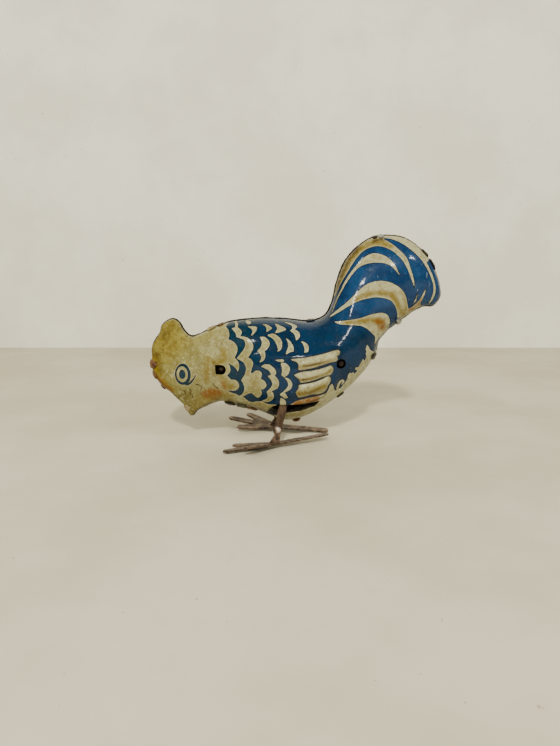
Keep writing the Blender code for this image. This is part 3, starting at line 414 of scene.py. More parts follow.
# half width of the pen at the start and at the end of each kind of stroke
HOOK_PEN, EYE_PEN, TICK_PEN, FEATHER_PEN = (0.45, 0.25), (0.5, 0.16), (0.32, 0.2), (0.30, 0.14)


def smooth_curve(points, closed=True, steps=6):
    """A Catmull-Rom curve through the points, broken at the corners."""
    count = len(points)
    spans = count if closed else count - 1
    flat = np.array([p[:2] for p in points], float)
    corner = [len(p) > 2 for p in points]
    if not closed:
        corner[0] = corner[-1] = True
    out = []
    for k in range(spans):
        a, b = flat[k], flat[(k + 1) % count]
        before = a if corner[k] else flat[k - 1]
        after = b if corner[(k + 1) % count] else flat[(k + 2) % count]
        for t in np.arange(steps) / steps:
            bend = 2 * before - 5 * a + 4 * b - after
            out.append(a + 0.5 * t * (b - before + t * (bend + t * (3 * (a - b) + after - before))))
    if not closed:
        out.append(flat[-1])
    return np.array(out)


def path_distance(x, z, path, closed=False):
    """Distance of each point (x, z) to a path, and how far along the path the nearest place is (0 to 1)."""
    starts = path if closed else path[:-1]
    ends = np.roll(path, -1, axis=0) if closed else path[1:]
    best = np.full(x.shape, 1e9)
    along = np.zeros(x.shape)
    for k, (a, b) in enumerate(zip(starts, ends)):
        run = b - a
        t = np.clip(((x - a[0]) * run[0] + (z - a[1]) * run[1]) / max(run @ run, 1e-12), 0.0, 1.0)
        gap = np.hypot(x - a[0] - t * run[0], z - a[1] - t * run[1])
        nearer = gap < best
        best = np.where(nearer, gap, best)
        along = np.where(nearer, (k + t) / len(starts), along)
    return best, along


REACH = 2.5            # fields are clipped this far from an edge, in millimetres


def within_reach(x, z, path):
    """Which points lie in the path's box, widened by REACH."""
    low, high = path.min(axis=0) - REACH, path.max(axis=0) + REACH
    return (x > low[0]) & (x < high[0]) & (z > low[1]) & (z < high[1])


def outline_field(x, z, outline):
    """Signed distance to a closed outline: positive inside, clipped to REACH."""
    path = smooth_curve(outline)
    field = np.full(x.shape, -REACH)
    near = within_reach(x, z, path)
    px, pz = x[near], z[near]
    gap, _ = path_distance(px, pz, path, closed=True)
    crossings = np.zeros(px.shape, int)
    for a, b in zip(path, np.roll(path, -1, axis=0)):
        spans = (a[1] > pz) != (b[1] > pz)
        at = a[0] + (pz - a[1]) * (b[0] - a[0]) / (b[1] - a[1] if b[1] != a[1] else 1.0)
        crossings += spans & (at > px)
    field[near] = np.clip(np.where(crossings % 2 == 1, gap, -gap), -REACH, REACH)
    return field


def stroke_field(x, z, points, start_half, end_half):
    """Signed distance to a pen stroke whose half width goes from start_half to end_half."""
    path = smooth_curve(points, closed=False)
    field = np.full(x.shape, -REACH)
    near = within_reach(x, z, path)
    gap, along = path_distance(x[near], z[near], path)
    field[near] = np.clip(start_half + (end_half - start_half) * along - gap, -REACH, REACH)
    return field


def ellipse_field(x, z, centre, half_x, half_z):
    """About the signed distance to an ellipse, positive inside."""
    u = (x - centre[0]) / half_x
    v = (z - centre[1]) / half_z
    reach = np.hypot(u, v)
    slope = np.hypot(u / half_x, v / half_z) / np.maximum(reach, 1e-6)
    return np.clip((1.0 - reach) / np.maximum(slope, 1e-6), -REACH, REACH)


def blue_ink(x, z):
    """Where the blue is printed: signed distance to its edge, positive in the blue."""
    ink = outline_field(x, z, BLUE_FIELD)
    for outline in TAIL_CREAM + NECK_CREAM + SCALES + PRIMARIES:
        ink = np.minimum(ink, -outline_field(x, z, outline))
    ink = np.minimum(ink, -stroke_field(x, z, RUMP_HOOK, *HOOK_PEN))
    pupil_at = (EYE_AT[0] + PUPIL_SHIFT[0], EYE_AT[1] + PUPIL_SHIFT[1])
    eye = ellipse_field(x, z, EYE_AT, *EYE_BLUE)
    eye = np.minimum(eye, -ellipse_field(x, z, pupil_at, *EYE_CREAM))
    eye = np.maximum(eye, ellipse_field(x, z, pupil_at, *EYE_PUPIL))
    ink = np.maximum(ink, eye)
    return np.maximum(ink, stroke_field(x, z, EYE_STROKE, *EYE_PEN))


def spray(x, z, points, width, strength=1.0):
    """A soft airbrushed stroke: full strength on its line, none beyond its width."""
    path = smooth_curve(points, closed=False)
    gap, _ = path_distance(x, z, path)
    return min(strength, 1.0) * step_up(width - gap, 0.0, width / max(strength, 1.0))


def sprayed(x, z, strokes, under=0.0):
    """Airbrushed strokes laid over a tone: each covers part of what still shows, from 0 to 1."""
    tone = np.zeros(x.shape) + under
    for points, width, strength in strokes:
        tone = 1.0 - (1.0 - tone) * (1.0 - spray(x, z, points, width, strength))
    return tone


def ochre_wash(x, z):
    """Where the cream is toned with ochre: the strokes, and half a tone over the comb."""
    comb = 0.5 * step_up(comb_height(x, z), -8.0, 0.5) * step_up(-33.0 - x, 0.0, 8.0)
    return sprayed(x, z, OCHRE_STROKES, comb)


def olive_tone(x, z):
    """How far the cream turns olive yellow, from the neck to the brow and down to the beak and throat."""
    head = step_up(-22.0 - x, 0.0, 16.0)
    low = step_up(27.0 - z, 0.0, 12.0) * step_up(-12.0 - x, 0.0, 8.0)
    return 1.0 - (1.0 - 0.75 * head) * (1.0 - 0.6 * low)


def tail_tone(x, z):
    """Where the tail's brighter blue takes over from the body's."""
    return step_up(x, 14.0, 26.0) * step_up(z, 40.0, 54.0)


def pale_tone(x, z):
    """Where the cream is paler: on the wing feathers, the tail and the rear."""
    return 0.8 * step_up(x, -4.0, 6.0)


def teal_tone(x, z):
    """How far the blue turns teal: on the neck, the front of the breast and round the eye."""
    eye = step_up(6.5 - np.hypot(x - EYE_AT[0], z - EYE_AT[1]), 0.0, 1.0)
    return np.maximum(0.8 * step_up(-2.0 - x, 0.0, 15.0), eye)


def brown_lines(x, z):
    """Thin brown pen strokes: signed distance, positive on the line."""
    field = np.full(x.shape, -REACH)
    for points in FACE_TICKS:
        field = np.maximum(field, stroke_field(x, z, points, *TICK_PEN))
    for points in FEATHER_LINES:
        field = np.maximum(field, stroke_field(x, z, points, *FEATHER_PEN))
    return field


def feather_shade(x, z):
    """Dirt and shade in the grooves between the long feathers, from 0 to 1."""
    edge = np.full(x.shape, -REACH)
    for outline in PRIMARIES:
        edge = np.maximum(edge, outline_field(x, z, outline))
    wing = step_up(x, 2.0, 7.0) * step_up(24.0 - x, 0.0, 3.0)
    wing = wing * step_up(z, 13.5, 16.0) * step_up(38.0 - z, 0.0, 1.0)
    return wing * (1.0 - step_up(np.abs(edge + 0.1), 0.0, 0.5))


# ------------------------------------------------------------------ making meshes
def add_mesh(name, points, faces, materials, slots=None):
    """A mesh object from points in design millimetres, with faces pointing out and soft shading."""
    mesh = bpy.data.meshes.new(name)
    mesh.from_pydata([world(*p) for p in points], [], faces)
    for material in materials:
        mesh.materials.append(material)
    if slots is not None:
        mesh.polygons.foreach_set("material_index", slots)
    tidy_mesh(mesh)
    piece = bpy.data.objects.new(name, mesh)
    bpy.context.scene.collection.objects.link(piece)
    return piece


def tidy_mesh(mesh, sharp=35.0):
    """Makes a closed mesh's faces point out and shades it smooth, but for its sharp edges."""
    solid = bmesh.new()
    solid.from_mesh(mesh)
    bmesh.ops.recalc_face_normals(solid, faces=solid.faces)
    solid.to_mesh(mesh)
    solid.free()
    mesh.shade_smooth()
    mesh.set_sharp_from_angle(angle=math.radians(sharp))


def apply_modifiers(piece):
    """Replaces a piece's mesh by what its modifiers make of it."""
    bpy.context.view_layer.update()
    graph = bpy.context.evaluated_depsgraph_get()
    mesh = bpy.data.meshes.new_from_object(piece.evaluated_get(graph))
    mesh.name = piece.name
    piece.modifiers.clear()
    piece.data = mesh


def prism(outline, low, high):
    """A closed outline in (x, z) drawn out along Y from low to high."""
    count = len(outline)
    points = [(x, y, z) for y in (low, high) for x, z in outline]
    faces = [tuple(range(count)), tuple(reversed(range(count, 2 * count)))]
    for k in range(count):
        after = (k + 1) % count
        faces.append((k, k + count, after + count, after))
    return points, faces


def grid_normals(grid):
    """Unit normals of the outer skin, pointing inwards, flat in the seam plane at both edges."""
    normal = np.cross(np.gradient(grid, axis=0), np.gradient(grid, axis=1))
    normal[:, [0, -1], 1] = 0.0
    normal[0] = (1.0, 0.0, 0.0)
    normal[-1] = (-1.0, 0.0, 0.0)
    normal /= np.linalg.norm(normal, axis=-1, keepdims=True)
    if normal[FINE_RIBS // 2, FINE_ARCS // 2, 1] > 0.0:
        normal[1:-1] *= -1.0
    return normal


def skin_faces(index):
    """Quads of a grid of point numbers, with triangles at its two poles."""
    corners = np.stack([index[:-1, :-1], index[1:, :-1], index[1:, 1:], index[:-1, 1:]], axis=-1)
    middle = corners[1:-1].reshape(-1, 4).tolist()
    first = corners[0][:, [0, 1, 2]].tolist()
    last = corners[-1][:, [0, 1, 3]].tolist()
    return middle + first + last


def tin_shell(name, side, grid, printed, bare):
    """One stamped half: a printed outer skin, a bare inner skin, and the holes cut through both."""
    inner = grid + SHEET * grid_normals(grid)
    inner[:, [0, -1], 1] = 0.0
    rows, columns = grid.shape[:2]
    per_skin = (rows - 2) * columns + 2
    index = np.zeros((rows, columns), int)
    index[1:-1] = 1 + np.arange((rows - 2) * columns).reshape(rows - 2, columns)
    index[-1] = per_skin - 1
    points = []
    for skin in (grid, inner):
        flat = np.concatenate([skin[0, :1], skin[1:-1].reshape(-1, 3), skin[-1, :1]])
        flat[:, 1] = side * (HALF_GAP + np.maximum(flat[:, 1], 0.0))
        points += flat.tolist()
    faces = skin_faces(index)
    printed_count = len(faces)
    faces += skin_faces(index + per_skin)
    for edge in (index[:, 0], index[:, -1]):
        for a, b in zip(edge[:-1], edge[1:]):
            faces.append((a, b, b + per_skin, a + per_skin))
    slots = np.ones(len(faces), int)
    slots[:printed_count] = 0
    shell = add_mesh(name, points, [tuple(f) for f in faces], [printed, bare], slots)
    holes = [slot_outline(), neck_hole_outline(), circle(REAR_STAY_AT, REAR_HOLE, 32)]
    if side > 0:
        holes.append(circle(GREAT_AT, WINDING_HOLE, 28))
    for hole in holes:
        punch(shell, hole, side, bare)
    write_print(shell)
    return shell


def punch(shell, outline, side, bare):
    """Cuts a hole through one half shell."""
    low, high = sorted(side * reach for reach in PUNCH_SPAN)
    tool = add_mesh("punch", *prism(outline, low, high), [bare])
    boolean = shell.modifiers.new("punch", "BOOLEAN")
    boolean.object = tool
    boolean.material_mode = "TRANSFER"
    apply_modifiers(shell)
    bpy.data.objects.remove(tool, do_unlink=True)


def write_print(shell):
    """Stores the print's fields on the printed skin's points."""
    mesh = shell.data
    co = np.zeros(len(mesh.vertices) * 3)
    mesh.vertices.foreach_get("co", co)
    place = (co.reshape(-1, 3) - np.array(ORIGIN)) / MM
    outside = np.zeros(len(place), bool)
    for face in mesh.polygons:
        if face.material_index == 0:
            outside[list(face.vertices)] = True
    x, z = place[outside, 0], place[outside, 2]
    fields = {
        "ink": blue_ink(x, z),
        "brown": brown_lines(x, z),
        "ochre": ochre_wash(x, z),
        "dirt_and_shade": sprayed(x, z, DIRT_AND_SHADE_STROKES),
        "orange": sprayed(x, z, ORANGE_STROKES),
        "olive": olive_tone(x, z),
        "pale": pale_tone(x, z),
        "tail": tail_tone(x, z),
        "teal": teal_tone(x, z),
        "shade": feather_shade(x, z),
        "comb": step_up(comb_height(x, z), -7.0, 2.5),
        "seam": np.abs(place[outside, 1]) - HALF_GAP,
    }
    for key, values in fields.items():
        full = np.full(len(place), -REACH if key == "ink" else 0.0)
        full[outside] = values
        attribute = mesh.attributes.new(key, "FLOAT", "POINT")
        attribute.data.foreach_set("value", full.astype(np.float32))


# ------------------------------------------------------------------ materials
def paint(red, green, blue):
    """A colour given as it looks (0 to 255) in the linear values that shaders take."""
    def linear(tone):
        return (tone / 255.0 / 12.92) if tone <= 10 else ((tone / 255.0 + 0.055) / 1.055) ** 2.4

    return (linear(red), linear(green), linear(blue), 1.0)


class Look:
    """A Principled material whose patterns are laid out in millimetres of the object's own space."""

    def __init__(self, name, **sockets):
        self.material = bpy.data.materials.new(name)
        self.material.use_nodes = True
        self.nodes = self.material.node_tree.nodes
        self.shader = self.nodes["Principled BSDF"]
        for key, value in sockets.items():
            self.shader.inputs[key.replace("_", " ")].default_value = value
        place = self.nodes.new("ShaderNodeTexCoord").outputs["Object"]
        self.place = self.stretched(place, (1000.0, 1000.0, 1000.0))

    def plug(self, value, socket):
        if isinstance(value, (int, float, tuple)):
            socket.default_value = value
        else:
            self.material.node_tree.links.new(value, socket)

    def set(self, key, value):
        self.plug(value, self.shader.inputs[key])

    def stretched(self, vector, scale, turn=(0.0, 0.0, 0.0)):
        node = self.nodes.new("ShaderNodeMapping")
        self.plug(vector, node.inputs["Vector"])
        node.inputs["Scale"].default_value = scale
        node.inputs["Rotation"].default_value = turn
        return node.outputs["Vector"]

    def math(self, operation, a, b=0.0):
        node = self.nodes.new("ShaderNodeMath")
        node.operation = operation
        self.plug(a, node.inputs[0])
        self.plug(b, node.inputs[1])
        return node.outputs[0]

    def times(self, a, b):
        return self.math("MULTIPLY", a, b)

    def plus(self, a, b):
        return self.math("ADD", a, b)

    def mix(self, factor, a, b):
        node = self.nodes.new("ShaderNodeMix")
        node.data_type = "RGBA"
        self.plug(factor, node.inputs["Factor"])
        self.plug(a, node.inputs["A"])
        self.plug(b, node.inputs["B"])
        return node.outputs["Result"]

    def band(self, value, low, high, start=0.0, end=1.0):
        """Smooth step of a value from start, at low, to end, at high."""
        node = self.nodes.new("ShaderNodeMapRange")
        node.interpolation_type = "SMOOTHSTEP"
        for key, setting in (("Value", value), ("From Min", low), ("From Max", high), ("To Min", start),
                             ("To Max", end)):
            self.plug(setting, node.inputs[key])
        return node.outputs["Result"]

    def noise(self, scale, detail=3.0, roughness=0.55, distortion=0.0, place=None):
        node = self.nodes.new("ShaderNodeTexNoise")
        self.plug(place or self.place, node.inputs["Vector"])
        for key, value in (("Scale", scale), ("Detail", detail), ("Roughness", roughness),
                           ("Distortion", distortion)):
            node.inputs[key].default_value = value
        return node.outputs["Fac"]

    def patches(self, grain, low, high, start=0.0, end=1.0):
        """Cloudy patches: a noise of grain = (scale, detail, roughness, distortion), as a smooth step."""
        return self.band(self.noise(*grain), low, high, start, end)

    def cell_edges(self, scale):
        node = self.nodes.new("ShaderNodeTexVoronoi")
        node.feature = "DISTANCE_TO_EDGE"
        self.plug(self.place, node.inputs["Vector"])
        node.inputs["Scale"].default_value = scale
        return node.outputs["Distance"]

    def field(self, name):
        node = self.nodes.new("ShaderNodeAttribute")
        node.attribute_name = name
        return node.outputs["Fac"]

    def bump(self, height, distance, strength=1.0, under=None):
        node = self.nodes.new("ShaderNodeBump")
        node.inputs["Strength"].default_value = strength
        node.inputs["Distance"].default_value = distance * MM
        self.plug(height, node.inputs["Height"])
        if under is not None:
            self.plug(under, node.inputs["Normal"])
        return node.outputs["Normal"]


def print_look():
    """Lithographed tinplate: cream, ochre and orange tones under blue, lacquered, worn at the seam."""
    look = Look("printed_tin", Coat_Weight=0.36, Coat_Roughness=0.08, Specular_IOR_Level=0.1)
    wander = look.math("SUBTRACT", look.noise(1.3, 4.0, 0.6), 0.5)
    ink = look.plus(look.field("ink"), look.times(wander, 0.34))
    blotch = look.noise(0.16, 4.0, 0.6)
    fine = look.noise(1.6, 5.0, 0.65)
    patchy = look.patches((0.7, 4.0, 0.6, 0.4), 0.36, 0.62, 0.58, 1.0)

    cream = look.mix(look.band(blotch, 0.38, 0.64), paint(144, 142, 102), paint(118, 114, 72))
    cream = look.mix(look.field("pale"), cream, paint(162, 161, 126))
    cream = look.mix(look.band(fine, 0.42, 0.68, 0.0, 0.5), cream, paint(118, 108, 62))
    cream = look.mix(look.patches((0.55, 4.0, 0.62), 0.48, 0.66, 0.0, 0.55), cream, paint(112, 104, 66))
    olive = look.mix(look.patches((0.3, 4.0, 0.6), 0.4, 0.64), paint(110, 106, 52), paint(86, 78, 28))
    cream = look.mix(look.field("olive"), cream, olive)
    cream = look.mix(look.patches((0.75, 3.0, 0.6, 0.8), 0.50, 0.62, 0.0, 0.45), cream, paint(104, 88, 38))
    cream = look.mix(look.patches((0.9, 3.0, 0.55, 0.5), 0.54, 0.64, 0.0, 0.4), cream, paint(170, 166, 126))
    comb = look.mix(look.patches((0.33, 5.0, 0.65, 0.6), 0.42, 0.64), paint(132, 126, 62), paint(92, 78, 28))
    comb = look.mix(look.patches((1.1, 3.0, 0.6), 0.5, 0.66, 0.0, 0.5), comb, paint(164, 156, 92))
    cream = look.mix(look.times(look.field("comb"), 0.9), cream, comb)
    ochre_here = look.times(look.field("ochre"), look.patches((0.6, 4.0, 0.6), 0.3, 0.6, 0.6, 1.0))
    cream = look.mix(ochre_here, cream, paint(102, 84, 6))
    orange_here = look.times(look.field("orange"), patchy)
    cream = look.mix(orange_here, cream, paint(106, 62, 2))
    # brown tone from the strokes: real dirt, with painted shade round the folded tabs
    dirt_and_shade = look.times(look.field("dirt_and_shade"), look.patches((0.5, 4.0, 0.65), 0.28, 0.54))
    cream = look.mix(dirt_and_shade, cream, paint(62, 46, 12))
    pen = look.band(look.plus(look.field("brown"), look.times(wander, 0.5)), -0.05, 0.12, 0.0, 0.85)
    cream = look.mix(pen, cream, paint(60, 36, 10))
    rim = look.band(ink, -0.5, -0.08, 0.0, 0.22)
    cream = look.mix(rim, cream, paint(190, 186, 152))

    blue = look.mix(look.band(blotch, 0.36, 0.66), paint(2, 28, 51), paint(4, 36, 64))
    tail = look.mix(look.band(blotch, 0.36, 0.66), paint(4, 38, 74), paint(18, 54, 92))
    blue = look.mix(look.field("tail"), blue, tail)
    blue = look.mix(look.field("teal"), blue, paint(2, 36, 50))
    blue = look.mix(look.band(fine, 0.45, 0.75, 0.0, 0.4), blue, paint(24, 58, 76))
    blue = look.mix(look.band(ink, 0.5, 0.06, 0.0, 0.8), blue, paint(1, 14, 30))
    colour = look.mix(look.band(ink, -0.06, 0.06), cream, blue)

    groove = look.times(look.field("shade"), look.band(fine, 0.3, 0.6, 0.35, 0.8))
    colour = look.mix(groove, colour, paint(34, 28, 22))
    warped = look.noise(0.45, 3.0, 0.6, 1.2)
    crack = look.band(look.cell_edges(0.62), 0.035, 0.0)
    crack = look.times(crack, look.band(warped, 0.5, 0.62, 0.0, 0.3))
    colour = look.mix(crack, colour, paint(84, 66, 40))
    # pale streaks on the lacquer, strongest on the tail: partly scratches, partly painted reflection
    streaks = look.noise(1.0, 2.0, 0.5, 0.3, look.stretched(look.place, (2.6, 2.6, 0.22), (0.0, 0.32, 0.0)))
    streaks = look.times(look.band(streaks, 0.68, 0.75), look.patches((0.2, 2.0), 0.48, 0.62, 0.0, 0.5))
    streaks = look.times(streaks, look.band(look.field("tail"), 0.0, 1.0, 0.35, 1.0))
    colour = look.mix(streaks, colour, paint(196, 206, 206))
    speck = look.patches((2.7, 2.0, 0.5), 0.72, 0.76, 0.0, 0.8)
    colour = look.mix(speck, colour, paint(58, 42, 26))
    worn = look.math("SUBTRACT", look.field("seam"), look.patches((0.9, 4.0, 0.7), 0.42, 0.7, 0.0, 0.75))
    edge = look.band(worn, 0.5, 0.2)
    tint = look.mix(look.patches((1.1, 3.0), 0.45, 0.6), paint(22, 18, 14), paint(86, 62, 40))
    colour = look.mix(edge, colour, tint)
    look.set("Base Color", colour)
    look.set("Metallic", look.times(edge, 0.5))
    rough = look.patches((0.35, 4.0, 0.6), 0.35, 0.7, 0.2, 0.42)
    look.set("Roughness", look.plus(rough, look.times(edge, 0.25)))
    dents = look.bump(look.noise(0.11, 2.0, 0.5), 0.5, 0.5)
    grain = look.bump(look.noise(0.9, 4.0, 0.55), 0.05, 0.7, dents)
    look.set("Normal", look.bump(look.plus(look.band(ink, -0.08, 0.08), look.times(crack, -2.0)),
                                 0.02, 0.8, grain))
    coat = look.bump(look.noise(0.5, 3.0, 0.5), 0.05, 0.6, dents)
    look.set("Coat Normal", coat)
    return look.material


def metal_look(name, light, dark, rough, stain=None, grain=1.0, brushed=(1.0, 1.0, 1.0), metallic=1.0,
               stain_amount=0.0, bump=0.03):
    """Worn metal: two tones in cloudy patches, fine brushed streaks, and stains of rust or dirt.

    Colours are as they look, 0 to 255; rough is the least and the most roughness; grain and brushed
    scale the patterns; stain_amount widens the stains; bump is in millimetres.
    """
    light, dark, stain = paint(*light), paint(*dark), paint(*stain) if stain else None
    look = Look(name, Metallic=metallic)
    cloud = look.noise(0.22 * grain, 4.0, 0.6, 0.5)
    streak = look.noise(1.7 * grain, 4.0, 0.6, 0.0, look.stretched(look.place, brushed))
    colour = look.mix(look.band(cloud, 0.35, 0.65), light, dark)
    colour = look.mix(look.band(streak, 0.4, 0.7, 0.0, 0.45), colour, dark)
    spots = look.noise(0.75 * grain, 6.0, 0.68, 0.3)
    rust = look.band(spots, 0.62 - stain_amount, 0.72 - stain_amount)
    if stain is not None:
        colour = look.mix(rust, colour, stain)
        look.set("Metallic", look.band(rust, 0.0, 1.0, metallic, metallic * 0.25))
    look.set("Base Color", colour)
    rough_here = look.band(look.plus(streak, look.times(cloud, 0.5)), 0.5, 0.95, *rough)
    if stain is not None:
        rough_here = look.plus(rough_here, look.times(rust, 0.3))
    look.set("Roughness", rough_here)
    dents = look.bump(cloud, bump * 4.0, 0.5)
    fine = look.bump(streak, bump, 0.7, dents)
    look.set("Normal", look.bump(spots, bump * 1.5 if stain is not None else bump, 0.6, fine))
    return look.material


# ------------------------------------------------------------------ pieces made from CAD nodes
record = frame["record"]
body_of = {node: body for body, nodes in record["behaviour"]["bodies"].items() for node in nodes}
slot_of = {name: node.data.materials[0].name.split(".")[0] for name, node in frame["nodes"].items()}


def take_place(piece, node):
    """The piece stands for a CAD node: it rides on the node's body, and the node is hidden."""
    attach(piece, body_of[node])
    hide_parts(node)


PITTING = (0.7, 2.1, 3)  # the fractal noise's falloff, step between its scales, and number of scales


def roughened(mesh, amount, grain, drift=0.0):
    """Moves each point along its normal by smooth noise: pits and swellings of worn metal."""
    count = len(mesh.vertices)
    co, normal = np.zeros(count * 3), np.zeros(count * 3)
    mesh.vertices.foreach_get("co", co)
    mesh.vertices.foreach_get("normal", normal)
    co, normal = co.reshape(-1, 3), normal.reshape(-1, 3)
    moves = np.zeros(count)
    for k, place in enumerate(co / MM):
        moves[k] = noise.fractal(Vector(place) * grain, *PITTING) - drift
    co += normal * (moves * amount * MM)[:, None]
    mesh.vertices.foreach_set("co", co.ravel())
    mesh.update()


WELD = 0.002             # points of a CAD mesh closer than this become one


def worn_copy(node, look, cell, amount, grain, drift=0.0):
    """A CAD node remeshed finely, with softened edges and an uneven, worn surface."""
    mesh = frame["nodes"][node].data.copy()
    mesh.materials.clear()
    mesh.materials.append(look)
    mesh.name = "worn_" + node
    piece = bpy.data.objects.new("worn_" + node, mesh)
    bpy.context.scene.collection.objects.link(piece)
    weld = piece.modifiers.new("weld", "WELD")
    weld.merge_threshold = WELD * MM
    remesh = piece.modifiers.new("remesh", "REMESH")
    remesh.mode = "VOXEL"
    remesh.voxel_size = cell * MM
    relax = piece.modifiers.new("relax", "SMOOTH")
    relax.iterations = 1
    relax.factor = 0.5
    apply_modifiers(piece)
    roughened(piece.data, amount, grain, drift)
    piece.data.materials.clear()
    piece.data.materials.append(look)
    piece.data.shade_smooth()
    take_place(piece, node)


# ------------------------------------------------------------------ folded tabs on the seam
SEAM_STEPS = 900         # steps along the outline of the seam
TAB_CORE = 3.4           # the tabs are bent round a line this far inside the outline
TAB_ROWS, TAB_FOLDS = 15, 8   # points along a tab, and across each of its two sides
CREST = 0.06             # angle from the seam at which the two sides begin
BEAD_SECTION = 10        # points round the bead's section
# Each tab: name, place on the outline (x, z), length along it, reach down the near and the far side,
# how proud it stands, and its look.
TABS = (
    ("tail_top_left", (35.0, 76.9), 1.8, (2.2, 1.3), 0.6, "dark"),
    ("tail_top", (37.4, 77.3), 2.3, (2.6, 1.3), 0.7, "bright"),
    ("tail_rear_upper", (53.5, 71.2), 4.2, (2.2, 1.2), 0.8, "dark"),
    ("tail_rear", (56.3, 67.2), 4.6, (2.4, 1.2), 0.8, "dark"),
    ("tail_lower", (44.8, 46.2), 2.6, (3.8, 1.2), 1.2, "bright"),
    ("rump", (36.0, 33.0), 3.2, (4.2, 1.2), 0.9, "dark"),
    ("belly_rear", (23.5, 17.8), 3.6, (3.8, 1.2), 0.8, "dark"),
    ("belly_slot", (6.4, 8.0), 3.2, (3.0, 1.2), 1.3, "rusty"),
    ("breast_rear", (-10.9, 12.0), 4.6, (3.8, 1.4), 0.75, "rusty"),
    ("breast_green", (-15.0, 12.9), 5.0, (4.4, 1.4), 0.8, "green"),
    ("breast", (-19.6, 14.2), 4.8, (4.0, 1.4), 0.9, "dark"),
    ("beak", (-36.6, 12.2), 3.2, (3.4, 1.2), 0.6, "cream"),
    ("brow", (-44.6, 21.4), 3.0, (3.0, 1.2), 0.6, "rusty"),
    ("comb_low", (-48.1, 25.8), 3.6, (4.2, 1.2), 0.7, "rusty"),
    ("comb_front", (-49.1, 30.0), 3.4, (4.6, 1.2), 0.9, "rusty"),
    ("neck", (-26.0, 43.2), 3.6, (2.4, 1.4), 0.8, "cream"),
    ("neck_rear", (-22.6, 44.6), 2.6, (2.0, 1.4), 0.7, "rusty"),
    ("back", (11.5, 46.3), 3.6, (1.9, 1.4), 0.6, "dark"),
)



def outline_frame():
    """The outline's points (x, z) at even steps, its outward normals, and its whole length."""
    loop = np.concatenate([grid_fine[:, 0], grid_fine[-2:0:-1, -1]])[:, [0, 2]]
    closed = np.vstack([loop, loop[:1]])
    travel = np.concatenate([[0.0], np.cumsum(np.linalg.norm(np.diff(closed, axis=0), axis=1))])
    wanted = np.linspace(0.0, travel[-1], SEAM_STEPS, endpoint=False)
    path = np.stack([np.interp(wanted, travel, closed[:, k]) for k in range(2)], axis=-1)
    run = np.roll(path, -3, axis=0) - np.roll(path, 3, axis=0)
    area = np.sum(path[:, 0] * np.roll(path[:, 1], -1) - np.roll(path[:, 0], -1) * path[:, 1])
    out = np.stack([run[:, 1], -run[:, 0]], axis=-1) * math.copysign(1.0, area)
    return path, out / np.linalg.norm(out, axis=-1, keepdims=True), travel[-1]


def seam_tab(name, place, length, reaches, proud, look):
    """A folded strip over the seam: it hugs the skin on both sides, with rounded, uneven ends."""
    path, out, whole = outline_frame()
    nearest = int(np.argmin(np.hypot(path[:, 0] - place[0], path[:, 1] - place[1])))
    half_steps = length / 2 / whole * SEAM_STEPS
    rows = [round(nearest + half_steps * t) % SEAM_STEPS for t in np.linspace(-1.0, 1.0, TAB_ROWS)]
    outer, inner = [], []
    for i, row in enumerate(rows):
        end = math.sqrt(max(1.0 - abs(i / (TAB_ROWS // 2) - 1.0) ** 3, 0.0))
        low, high = (CREST + reach / TAB_CORE * (0.55 + 0.45 * end) for reach in reaches)
        turns = [*np.linspace(-low, -CREST, TAB_FOLDS), *np.linspace(CREST, high, TAB_FOLDS)]
        normal = Vector((out[row, 0], 0.0, out[row, 1]))
        core = Vector((path[row, 0], 0.0, path[row, 1])) - normal * TAB_CORE
        for turn in turns:
            ray = normal * math.cos(turn) + Vector((0.0, math.sin(turn), 0.0))
            hit = skin_tree.ray_cast(core + ray * 12.0, -ray)[0] or core + ray * TAB_CORE
            wobble = 0.16 * noise.noise(hit * 0.9) + 0.12 * noise.noise(hit * 2.1)
            lift = (proud + (0.5 + proud) * wobble) * (0.3 + 0.7 * end)
            outer.append(hit + ray * lift)
            inner.append(hit - ray * 0.1)
    columns = 2 * TAB_FOLDS
    index = np.arange(len(rows) * columns).reshape(len(rows), columns)
    below = index.size
    faces = []
    for i in range(len(rows) - 1):
        for j in range(columns - 1):
            quad = (index[i, j], index[i + 1, j], index[i + 1, j + 1], index[i, j + 1])
            faces.append(quad)
            faces.append(tuple(k + below for k in reversed(quad)))
    border = [*index[0, :-1], *index[:-1, -1], *index[-1, :0:-1], *index[:0:-1, 0]]
    for a, b in zip(border, border[1:] + border[:1]):
        faces.append((a, b, b + below, a + below))
    tab = add_mesh("seam_tab_" + name, outer + inner, faces, [look])
    smooth = tab.modifiers.new("smooth", "SUBSURF")
    smooth.levels = smooth.render_levels = 2
    apply_modifiers(tab)
    tab.data.shade_smooth()
    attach(tab, "body")


def skin_surface():
    """The printed skins of both halves, in design millimetres, to lay the tabs on."""
    points, faces = [], []
    for side_name in SIDES:
        mesh = bpy.data.objects["printed_shell_" + side_name].data
        start = len(points)
        points += [(vertex.co - ORIGIN) / MM for vertex in mesh.vertices]
        faces += [[start + k for k in face.vertices] for face in mesh.polygons if face.material_index == 0]
    return BVHTree.FromPolygons(points, faces)


